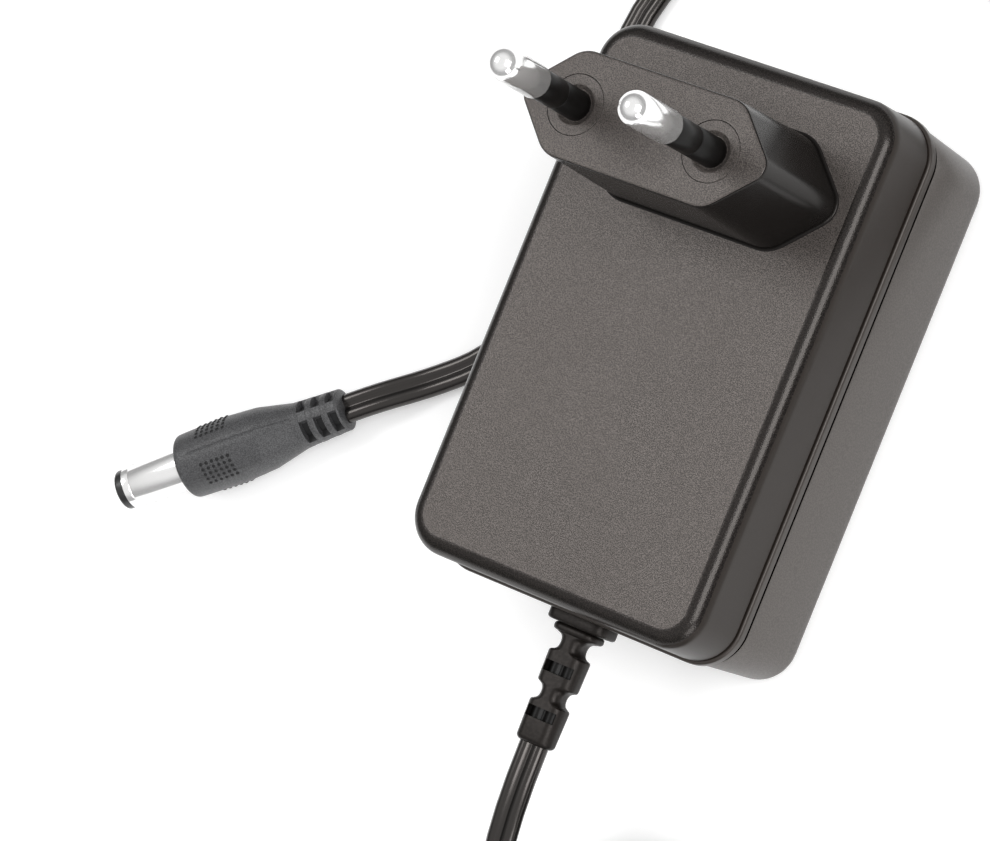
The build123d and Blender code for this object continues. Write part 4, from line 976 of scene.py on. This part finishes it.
@dataclass
class StrainRelief:
    """The moulded strain relief, cut by turns from its sides and faces, with the lead bare in its windows."""

    case_end: float = -33.4
    centre_z: float = 15.0
    length: float = 16.0
    flange: tuple[float, float, float] = (8.3, 4.6, 1.6)
    shoulder: tuple[float, float, float] = (6.1, 3.9, 1.0)
    root: Flat = (5.4, 3.5)
    end: Flat = (4.8, 3.1)
    corner: float = 1.4
    end_radius: float = 0.6
    edge_radius: float = 0.35
    necks: Flat = (3.75, 9.9)
    neck_length: float = 2.1
    neck_width: float = 2.8
    windows: Flat = (6.8, 12.4)
    window_length: float = 1.3
    window_width: float = 4.0
    web: float = 1.9
    throat: Flat = (4.8, 3.2)
    collar: tuple[float, float, float] = (6.4, 4.0, 1.4)
    stub: tuple[float, float, float] = (4.6, 2.6, 1.2)
    wall: float = 2.0
    corner_share: float = 0.82
    bare_share: float = 0.6
    neck_approach: tuple[float, ...] = (0.1, 0.3, 0.6, 1.0)
    window_lead: float = 0.02
    arc_steps: int = 5
    crown_steps: int = 32

    def crown(self, across: float, half_width: float, half_height: float, corner: float) -> float:
        """Height of the bar's rounded top at a distance from its middle."""
        over = abs(across) - (half_width - corner)
        return half_height if over <= 0 else half_height - corner + math.sqrt(max(0.0, corner**2 - over**2))

    def conductor(self, across: float) -> float:
        """Height of the lead's two round conductors, which lie bare on a window's floor."""
        radius = self.web / 2
        away = abs(across) - radius
        return max(self.bare_share * radius, math.sqrt(max(0.0, radius**2 - away**2)))

    def section(self, width: float, height: float, window: bool) -> list[Flat]:
        """The bar's cross-section, from its lower right corner round to its bottom face.

        Args:
            width: Its width across the case.
            height: Its height.
            window: True where a window is cut into its top and bottom.

        Returns:
            As many points for any sizes.
        """
        x, z = width / 2, height / 2
        corner = min(self.corner, self.corner_share * min(x, z))
        cut = min(self.window_width / 2, x - 0.3)
        over = cut - (x - corner)
        last = 90.0 if over <= 0 else math.degrees(math.acos(over / corner))
        right = rounding((x - corner, corner - z), corner, 360 - last, 360, self.arc_steps)
        right += rounding((x - corner, z - corner), corner, 0, last, self.arc_steps)
        top: list[Flat] = []
        for step in range(self.crown_steps + 1):
            across = cut * (1 - 2 * step / self.crown_steps)
            top.append((across, self.conductor(across) if window else self.crown(across, x, z, corner)))
        left = [(-across, up) for across, up in reversed(right)]
        return [*right, *top, *left, *((-across, -up) for across, up in top)]

    def bar_size(self, mark: float) -> Flat:
        """Width and height of the tapered bar at a distance from the case, less its necks and rounded end."""
        share, half, edge = mark / self.length, self.neck_length / 2, self.edge_radius
        wide, high = (root + (end - root) * share for root, end in zip(self.root, self.end))
        for neck in self.necks:
            away = abs(mark - neck)
            if half <= away < half + edge:
                past = edge - (away - half)
                wide -= 2 * (edge - math.sqrt(edge**2 - past**2))
            elif away < half:
                wide = min(wide - 2 * edge, self.neck_width + 2 * (half - math.sqrt(half**2 - away**2)))
        past = mark - (self.length - self.end_radius)
        if past > 0:
            trim = 2 * (self.end_radius - math.sqrt(max(0.0, self.end_radius**2 - past**2)))
            wide, high = wide - trim, high - trim
        return wide, high

    def marks(self, first: float) -> list[float]:
        """Distances from the case at which the bar gets a cross-section, from its start on."""
        half, reach, edge = self.neck_length / 2, self.window_length / 2, self.edge_radius
        found = {first, self.length - self.end_radius}
        found.update(self.length - set_back(self.end_radius, turn)[1] for turn in range(15, 91, 15))
        for neck in self.necks:
            found.update(neck + half * math.sin(math.radians(turn)) for turn in range(-90, 91, 10))
            steps = [half + edge * share for share in self.neck_approach]
            found.update(neck + side * away for side in (-1, 1) for away in steps)
        for window in self.windows:
            near, past = window - reach, window + reach
            found.update((near - self.window_lead, near, past, past + self.window_lead))
        return sorted(mark for mark in found if mark >= first)

    def stations(self) -> list[tuple[float, float, float, bool]]:
        """Distance from the case, width, height and whether it is cut open, for each cross-section."""
        inner = -self.wall - self.collar[2]
        sizes = [(inner - self.stub[2], self.stub), (inner, self.stub), (inner, self.collar)]
        sizes += [(-self.wall, self.collar), (-self.wall, self.throat), (0.0, self.throat)]
        found = [(place, *size[:2], False) for place, size in sizes]
        first = 0.0
        for width, height, thick in (self.flange, self.shoulder):
            for sign, face in ((1, first), (-1, first + thick)):
                for turn in range(0, 91, 30)[::sign]:
                    away, trim = set_back(self.edge_radius, turn)
                    found.append((face + sign * away, width - 2 * trim, height - 2 * trim, False))
            first += thick
        reach = self.window_length / 2 + 1e-6
        for mark in self.marks(first):
            opened = any(abs(mark - window) <= reach for window in self.windows)
            found.append((mark, *self.bar_size(mark), opened))
        return found

    def build(self, shop: Workshop) -> None:
        """Lofts the whole relief along its length, with a dark finish on the windows' floors."""
        form = Form("segmented_relief")
        top = 2 * (self.arc_steps + 1)
        bottom = 2 * top + self.crown_steps + 1
        floors = {*range(top, top + self.crown_steps), *range(bottom, bottom + self.crown_steps)}
        loops: list[tuple[list[int], bool]] = []
        for place, wide, high, opened in self.stations():
            outline = self.section(wide, high, opened)
            loop = form.ring((x, self.case_end - place, self.centre_z + z) for x, z in outline)
            loops.append((loop, opened))
        for (low, low_open), (high, high_open) in zip(loops, loops[1:]):
            form.bridge(low, high, shaded=floors if low_open and high_open else ())
        form.close(loops[0][0], loops[-1][0])
        shop.make(form, (Finish.RELIEF, Finish.SLEEVE), "relief_pvc", "strain_relief", crease=40)


@dataclass
class BarrelPlug:
    """The low-voltage plug, which lies on the flank of its grip."""

    tip: Flat = (-75.0, -41.5)
    heading: float = 38.5
    barrel_radius: float = 2.75
    barrel_wall: float = 0.3
    barrel_length: float = 9.5
    barrel_seat: float = 3.0
    flange_radius: float = 3.1
    collar_radius: float = 2.55
    collar_edge: float = 0.35
    collar_length: float = 1.1
    hole_radius: float = 1.2
    bore_radius: float = 1.05
    contact_wall: float = 0.3
    setback: float = 0.4
    grip_length: float = 16.4
    face_radius: float = 4.15
    face_edge: float = 0.6
    belly_radius: float = 4.35
    rear_radius: float = 4.05
    neck_radius: float = 3.0
    belly_place: float = 7.0
    rear_place: float = 11.5
    relief_length: float = 6.6
    end_radius: float = 2.7
    end_edge: float = 0.4
    face_lead: float = 0.4
    body_steps: int = 24
    seam_lead: float = 0.1
    neck_lead: float = 0.3
    slot_leads: Flat = (0.12, 0.03)
    barrel_line: tuple[Flat, ...] = ((0.1, 0.0), (0.0, 0.1), (0.0, 0.9), (0.06, 1.0), (0.0, 1.1))
    tip_chamfer: float = 0.15
    slot_rows: int = 3
    slot_length: float = 1.1
    slot_pitch: float = 2.0
    slot_start: float = 1.0
    slot_floor: float = 2.0
    rib_width: float = 1.3
    rib_count: int = 4
    rib_points: int = 7
    seam_height: float = 0.06
    seam_width: float = 0.16
    seam_start: float = 2.2
    pad_start: float = 3.6
    pad_rows: int = 6
    pad_columns: int = 5
    stud_pitch: Flat = (0.78, 0.7)
    stud_radius: float = 0.24
    stud_height: float = 0.13

    @property
    def tilt(self) -> float:
        """The angle at which the grip's flank lies flat."""
        return math.atan((self.belly_radius - self.rear_radius) / (self.rear_place - self.belly_place))

    @property
    def length(self) -> float:
        """The whole plug from its tip to the end of its relief."""
        return self.barrel_length + self.grip_length + self.relief_length

    @property
    def place(self) -> Matrix:
        """The plug's frame: its tip, with Z along its axis towards the lead."""
        heading, flat = math.radians(self.heading), math.cos(self.tilt)
        axis = Vector((flat * math.cos(heading), flat * math.sin(heading), -math.sin(self.tilt)))
        side = Vector((-math.sin(heading), math.cos(heading), 0.0))
        up = axis.cross(side)
        height = self.belly_radius * flat + (self.barrel_length + self.belly_place) * math.sin(self.tilt)
        turn = Matrix((side, up, axis)).transposed().to_4x4()
        return Matrix.Translation((*self.tip, height)) @ turn

    def on_axis(self, distance: float, z: float | None = None) -> Point:
        """A point on the plug's axis line, a distance behind its relief, or above it at a given height."""
        point = self.place @ Vector((0.0, 0.0, self.length + distance))
        return (point.x, point.y, point.z if z is None else z)

    def outline(self, radius: float, floor: float, seam: float) -> list[Flat]:
        """The grip's cross-section: round, or cut down to a floor between its ribs.

        Args:
            radius: Radius over the ribs.
            floor: Radius between them.
            seam: How far the mould seam stands out of the two ribs that it runs along.

        Returns:
            As many points for any sizes, from the first rib round.
        """
        points: list[Flat] = []
        outer = math.asin(self.rib_width / 2 / radius)
        inner = max(outer + 0.004, math.asin(self.rib_width / 2 / floor))
        narrow = self.seam_width / 2 / radius
        quarter = math.tau / self.rib_count
        for rib in range(self.rib_count):
            middle = quarter * rib
            for turn in (-outer, -outer / 2, -narrow, 0.0, narrow, outer / 2, outer):
                reach = radius + (seam if turn == 0.0 and rib % 2 else 0.0)
                points.append(on_circle(reach, middle + turn))
            for step in range(13):
                points.append(on_circle(floor, middle + inner + (quarter - 2 * inner) * step / 12))
        return points

    def body_radius(self, place: float) -> float:
        """Radius of the grip at a distance behind its face."""
        end = self.grip_length + self.relief_length
        knots = [(0.0, self.face_radius), (self.belly_place, self.belly_radius)]
        knots += [(self.rear_place, self.rear_radius), (self.grip_length, self.neck_radius)]
        knots += [(end, self.end_radius)]
        for (low, first), (high, last) in zip(knots, knots[1:]):
            if place <= high:
                return first + (last - first) * (place - low) / (high - low)
        return self.end_radius

    def grip_stations(self) -> list[tuple[float, float, float, float]]:
        """Distance behind the grip's face, radius, radius between the ribs and seam of each cross-section."""
        edge, neck, last = self.face_edge, self.grip_length, self.grip_length + self.relief_length
        found = [(place, self.flange_radius, self.flange_radius, 0.0) for place in (self.barrel_seat, 0.0)]
        for turn in range(0, 91, 15):
            away, trim = set_back(edge, turn)
            found.append((away, self.face_radius - trim, self.face_radius - trim, 0.0))
        marks = {self.seam_start - self.seam_lead, self.seam_start, self.rear_place}
        marks.update((neck - self.neck_lead, neck + self.neck_lead))
        lead, steps = self.face_lead, self.body_steps
        marks.update(edge + lead + (neck - edge - lead) * step / steps for step in range(steps + 1))
        starts = [self.slot_start + neck + self.slot_pitch * index for index in range(self.slot_rows)]
        cuts = [(start, start + self.slot_length) for start in starts]
        marks.update(last - self.end_edge * (1 - share) for share in (0.0, 0.5, 1.0))
        for start, stop in cuts:
            marks.update((start, stop))
            marks.update(mark for lead in self.slot_leads for mark in (start - lead, stop + lead))
        for mark in sorted(marks):
            radius = self.body_radius(mark)
            past = mark - (last - self.end_edge)
            if past > 0:
                radius -= self.end_edge - math.sqrt(max(0.0, self.end_edge**2 - past**2))
            cut = any(start - 1e-6 <= mark <= stop + 1e-6 for start, stop in cuts)
            edge_lead = self.slot_leads[-1]
            beside = any(min(abs(mark - start), abs(mark - stop)) < 1.5 * edge_lead for start, stop in cuts)
            radius -= edge_lead if beside and not cut else 0.0
            seam = self.seam_height if self.seam_start <= mark <= neck else 0.0
            found.append((mark, radius, self.slot_floor if cut else radius, seam))
        return found

    def grip(self, shop: Workshop) -> bpy.types.Object:
        """Builds the grip with its seam and its relief, whose slots are cut down to a core between ribs and
        painted darker as painted shade.
        """
        form = Form("ribbed_grip", self.place)
        rings: list[tuple[list[int], bool]] = []
        for place, radius, floor, seam in self.grip_stations():
            outline = self.outline(radius, floor, seam)
            rings.append((form.ring(at_height(outline, self.barrel_length + place)), floor < radius))
        count = len(rings[0][0])
        # Painted shade: the faces between the ribs in the slots take the grip's darker finish.
        between = {index for index in range(count) if index % (count // self.rib_count) >= self.rib_points}
        for (low, low_cut), (high, high_cut) in zip(rings, rings[1:]):
            form.bridge(low, high, shaded=between if low_cut and high_cut else ())
        form.close(rings[0][0], rings[-1][0])
        return shop.make(form, (Finish.GRIP, Finish.GRIP_SHADE), "grip_pvc", "dc_plug_grip", crease=40)

    def pads(self) -> bpy.types.Object:
        """Lays a patch of points for each pad of studs, between the ribs' lines on the grip."""
        form = Form("pad_points", self.place)
        quarter = math.tau / self.rib_count
        for pad in range(self.rib_count):
            rows = []
            for row in range(self.pad_rows):
                place = self.pad_start + self.stud_pitch[0] * row
                radius = self.body_radius(place)
                spot = []
                middle = (self.pad_columns - 1) / 2
                for column in range(self.pad_columns):
                    turn = quarter * (pad + 0.5) + (column - middle) * self.stud_pitch[1] / radius
                    spot.append((*on_circle(radius, turn), self.barrel_length + place))
                rows.append(form.ring(spot))
            for low, high in zip(rows, rows[1:]):
                for index in range(self.pad_columns - 1):
                    form.faces.append(([low[index], low[index + 1], high[index + 1], high[index]], 0))
        patch = form.piece([], 90)
        for polygon in patch.data.polygons:
            middle = polygon.center / MM - self.place.translation
            axis = self.place.to_3x3() @ Vector((0, 0, 1))
            if polygon.normal.dot(middle - axis * middle.dot(axis)) < 0:
                polygon.flip()
        return patch

    def studs(self, shop: Workshop) -> bpy.types.Object:
        """Grows the pads' low studs with Geometry Nodes, painted darker than the grip as painted shade, and
        makes them one plain mesh.
        """
        patch = self.pads()
        tree, sockets = stud_tree()
        modifier = patch.modifiers.new("studs", "NODES")
        modifier.node_group = tree
        values = {"Stud Radius": self.stud_radius * MM, "Stud Height": self.stud_height * MM}
        # Painted shade: the studs take the grip's darker finish.
        values["Finish"] = shop.finish(Finish.GRIP_SHADE)
        for name, value in values.items():
            modifier[sockets[name]] = value
        return shop.seat(made_plain(patch, "grip_studs"), "grip_pvc")

    def build(self, shop: Workshop) -> list[bpy.types.Object]:
        """Builds the grip with its studs, the barrel and its insulator, and returns them."""
        made = [self.grip(shop), self.studs(shop)]
        outer, flange, inner = self.barrel_radius, self.flange_radius, self.barrel_radius - self.barrel_wall
        start, face, seat = self.collar_length, self.barrel_length, self.barrel_length + self.barrel_seat
        profile = [(inner, start), *((outer - down, start + up) for down, up in self.barrel_line)]
        profile += [(outer, face), (flange, face)]
        barrel = Form("bright_barrel", self.place)
        barrel.lathe([*profile, (flange, seat), (inner, seat)], 72, closed=True)
        made.append(shop.make(barrel, [Finish.NICKEL], "plated_brass", "dc_plug_barrel"))
        hole, contact = self.hole_radius, self.bore_radius + self.contact_wall
        collar, edge = self.collar_radius, self.collar_edge
        profile = [(hole, self.tip_chamfer), (hole + self.tip_chamfer, 0.0)]
        profile += rounding((collar - edge, edge), edge, 270, 360, 6)
        profile += [(collar, start), (inner, start), (inner, seat), (contact, seat)]
        tip = Form("insulating_tip", self.place)
        tip.lathe([*profile, (contact, self.setback), (hole, self.setback)], closed=True)
        made.append(shop.make(tip, [Finish.INSULATOR], "insulator", "dc_plug_tip", crease=50))
        return made


@dataclass
class TwinLead:
    """The flat twin lead: out of the relief, through its put-away coil and round the case to the plug."""

    plug: BarrelPlug
    width: float = 3.8
    thickness: float = 1.9
    start: Point = (0.0, -49.4, 15.0)
    coil_centre: Flat = (23.9, -78.9)
    coil_radius: float = 21.2
    column_pitch: float = 3.9
    full_layers: int = 4
    first_angle: float = 208.0
    last_angle: float = -6.0
    turn_points: int = 16
    tie_angle: float = 300.0
    tie_reach: float = 30.0
    tie_thickness: float = 0.6
    change_angle: float = 24.0
    waist_angle: float = 148.0
    real_length: float = 1.5
    floor_run: tuple[Flat, ...] = (
        (49.5, -63.0), (56.4, -43.5), (50.0, -18.0), (40.0, 6.0), (30.0, 29.0), (20.0, 50.0), (3.5, 57.5),
        (-15.0, 55.7), (-29.0, 47.6), (-34.0, 34.0), (-29.5, 19.0), (-26.8, 3.5),
    )

    def slots(self) -> list[Flat]:
        """Radius and height of each turn of the coil, from the top one to the last on the floor."""
        spread, floor = self.column_pitch / 2, self.thickness / 2
        found = [(self.coil_radius, floor + self.full_layers * self.thickness)]
        for layer in reversed(range(self.full_layers)):
            sides = (spread, -spread) if (self.full_layers - 1 - layer) % 2 == 0 else (-spread, spread)
            found += [(self.coil_radius + side, floor + layer * self.thickness) for side in sides]
        return found

    def coil_point(self, angle: float) -> Point:
        """The lead's place after so many degrees of turns, from 0 at the first turn's +X side."""
        slots = self.slots()
        index = min(int(angle // 360), len(slots) - 1)
        past = angle - 360 * index
        radius, z = slots[index]
        reach = self.change_angle
        other = index - 1 if past < reach else index + 1 if past > 360 - reach else index
        if 0 <= other < len(slots) and other != index:
            away = past if past < reach else 360 - past
            share = 0.5 - 0.5 * (away / reach) * (2 - away / reach)
            radius += (slots[other][0] - radius) * share
            z += (slots[other][1] - z) * share
        near = min(1.0, abs((angle - self.tie_angle + 180) % 360 - 180) / self.tie_reach)
        z += self.tie_thickness * (1 - near * near * (3 - 2 * near))
        radius /= math.cos(math.pi / self.turn_points)
        return (*on_circle(radius, math.radians(angle), self.coil_centre), z)

    def route(self) -> list[Point]:
        """The control points of the whole lead."""
        top, floor = self.thickness * (self.full_layers + 0.5), self.thickness / 2
        points: list[Point] = [self.start, (0, -61.0, self.start[2]), (0, -71.5, top), (0, -80.5, top)]
        first, turned = self.first_angle, 360 * len(self.slots()) + self.last_angle - self.first_angle
        steps = round(turned / 360 * self.turn_points)
        points += [self.coil_point(first + turned * step / steps) for step in range(steps + 1)]
        points += [(x, y, floor) for x, y in self.floor_run]
        points += [self.plug.on_axis(behind, floor) for behind in (20.0, 11.5)]
        return [*points, *(self.plug.on_axis(behind) for behind in (4.0, 0.0))]

    def centreline(self) -> list[Vector]:
        """Points read from the smooth curve through the route, in millimetres."""
        curve = bpy.data.curves.new("lead_route", "CURVE")
        curve.dimensions = "3D"
        curve.resolution_u = 5
        spline = curve.splines.new("NURBS")
        route = self.route()
        spline.points.add(len(route) - 1)
        for control, point in zip(spline.points, route):
            control.co = (*(part * MM for part in point), 1.0)
        spline.order_u = 3
        spline.use_endpoint_u = True
        holder = bpy.data.objects.new("lead_route", curve)
        bpy.context.scene.collection.objects.link(holder)
        bpy.context.view_layer.update()
        evaluated = holder.evaluated_get(bpy.context.evaluated_depsgraph_get())
        mesh = bpy.data.meshes.new_from_object(evaluated)
        points = [vertex.co / MM for vertex in mesh.vertices]
        bpy.data.objects.remove(holder)
        bpy.data.meshes.remove(mesh)
        return points

    def profile(self) -> list[Flat]:
        """The figure of eight of two joined conductors, across and up."""
        radius = self.thickness / 2
        away, turn = self.width / 2 - radius, self.waist_angle
        left, right = (rounding((side * away, 0.0), side * radius, -turn, turn, 12) for side in (1, -1))
        return [*left, *right]

    def build(self, shop: Workshop) -> bpy.types.Object:
        """Sweeps the twin profile along the centreline, flat side down."""
        path = self.centreline()
        form = Form("twin_lead")
        profile = self.profile()
        rings = []
        for index, point in enumerate(path):
            ahead = (path[min(index + 1, len(path) - 1)] - path[max(index - 1, 0)]).normalized()
            across = Vector((0, 0, 1)).cross(ahead).normalized()
            up = ahead.cross(across)
            rings.append((form.ring(point + across * x + up * y for x, y in profile), 0))
        form.stack(rings)
        form.close(rings[0][0], rings[-1][0])
        run = sum((b - a).length for a, b in zip(path, path[1:]))
        LOG.info("lead: %.0f mm along its centre", run)
        return shop.make(form, [Finish.CORD], "cord_pvc", "dc_cord", "dc_cord_coil", "dc_cord_end", crease=60)

    def declare(self) -> None:
        path = [tuple(point * MM) for point in self.centreline()]


@dataclass(frozen=True)
class Softbox:
    """A soft rectangular light that faces a point."""

    name: str
    place: Point
    aim: Point
    size: Flat
    power: float

    def hang(self) -> None:
        """Hangs the light in the scene."""
        data = bpy.data.lights.new(self.name, "AREA")
        data.shape = "RECTANGLE"
        data.size, data.size_y = self.size[0] * MM, self.size[1] * MM
        data.energy = self.power
        lamp = bpy.data.objects.new(self.name, data)
        lamp.location = Vector(self.place) * MM
        lamp.rotation_euler = (Vector(self.aim) - Vector(self.place)).to_track_quat("-Z", "Y").to_euler()
        bpy.context.scene.collection.objects.link(lamp)


@dataclass
class Studio:
    """A pale floor, soft lights and the camera at the photograph's view."""

    camera_place: Point = (259.741, -22.718, 469.178)
    camera_turn: Point = (13.7281, 28.9534, 25.4188)
    lens: float = 163.355
    sensor: float = 36.0
    floor_glow: float = 0.25
    floor_reach: float = 3000.0
    wall_light: float = 0.26
    ceiling_light: float = 0.82
    boxes: tuple[Softbox, ...] = (
        Softbox("face_box", (-520, 60, 870), (0, 0, 30), (420, 340), 2.0),
        Softbox("side_box", (640, 60, 760), (0, 0, 30), (620, 500), 5.6),
        Softbox("lead_box", (540, -430, 290), (0, -60, 15), (320, 320), 1.3),
    )

    def floor(self) -> None:
        """Lays the floor."""
        made, graph, shader = start_material("studio_floor")
        cloud = graph.node("ShaderNodeTexNoise", Scale=3.0, Detail=2.0).outputs["Fac"]
        tone = graph.blend(cloud, opaque(WHITE, 0.88), opaque(WHITE, 0.9))
        graph.supply(shader, {"Base Color": tone, "Roughness": 0.9, "Specular IOR Level": 0.1})
        graph.supply(shader, {"Emission Color": opaque(WHITE), "Emission Strength": self.floor_glow})
        form, reach = Form("floor"), self.floor_reach
        form.close(form.ring([(x * reach, y * reach, 0) for x, y in ((-1, -1), (1, -1), (1, 1), (-1, 1))]))
        form.piece([made])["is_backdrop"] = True

    def surroundings(self) -> None:
        """Makes the white room, darker at its walls than at its ceiling."""
        world = bpy.data.worlds.new("studio")
        world.use_nodes = True
        sky = Graph(world.node_tree)
        aim = sky.node("ShaderNodeSeparateXYZ", Vector=sky.node("ShaderNodeTexCoord").outputs["Generated"])
        light = sky.ramp(aim.outputs["Z"], 0.3, 0.8, self.wall_light, self.ceiling_light)
        sky.supply(world.node_tree.nodes["Background"], {"Color": opaque(WHITE), "Strength": light})
        bpy.context.scene.world = world
        bpy.context.scene.view_settings.view_transform = "Standard"

    def camera(self) -> None:
        """Sets the camera at the photograph's view."""
        data = bpy.data.cameras.new("camera")
        data.lens = self.lens
        data.sensor_width = self.sensor
        data.clip_start, data.clip_end = 0.01, 20.0
        camera = bpy.data.objects.new("camera", data)
        camera.location = Vector(self.camera_place) * MM
        camera.rotation_euler = [math.radians(part) for part in self.camera_turn]
        bpy.context.scene.collection.objects.link(camera)
        bpy.context.scene.camera = camera

    def build(self) -> None:
        """Sets floor, surroundings, lights and camera."""
        self.floor()
        self.surroundings()
        for box in self.boxes:
            box.hang()
        self.camera()


INSIDE: dict[Finish, tuple[str, ...]] = {
    Finish.BOARD: ("circuit_board",),
    Finish.FUSE: ("input_fuse",),
    Finish.EPOXY: ("bridge_rectifier", "controller_chip", "optocoupler", "output_rectifier"),
    Finish.FERRITE: ("choke_core", "transformer_core_front", "transformer_core_rear"),
    Finish.COPPER: ("choke_winding",),
    Finish.TAPE: ("transformer_winding",),
    Finish.BOBBIN: ("transformer_bobbin",),
    Finish.CERAMIC: ("y_capacitor",),
    Finish.ALUMINIUM: ("output_heatsink",),
    Finish.CAN_SLEEVE: (
        "bulk_capacitor_1", "bulk_capacitor_2", "aux_capacitor", "output_capacitor_1", "output_capacitor_2",
    ),
    Finish.WIRE: ("mains_lead_left", "mains_lead_right", "output_lead_left", "output_lead_right"),
    Finish.NICKEL: ("dc_plug_contact",),
    Finish.TIE: ("cord_tie",),
}


def corners() -> list[list[float]]:
    """The shown object's box as plain numbers."""
    return [list(corner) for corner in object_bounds()]


def main() -> None:
    """Loads the frame and builds the power supply on it, piece by piece."""
    logging.basicConfig(level=logging.INFO, format="%(name)s: %(message)s")
    for spare in list(bpy.data.objects):
        bpy.data.objects.remove(spare)
    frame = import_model()
    shop = Workshop(frame["nodes"])
    Studio().build()
    case = CaseHalves()
    case.rear(shop)
    case.front(shop)
    MainsPins().build(shop)
    StrainRelief().build(shop)
    plug = BarrelPlug()
    on_lead = plug.build(shop)
    lead = TwinLead(plug)
    cord = lead.build(shop)
    for finish, nodes in INSIDE.items():
        shop.dress(finish, *nodes)
    lead.declare()


if __name__ == "__main__":
    main()
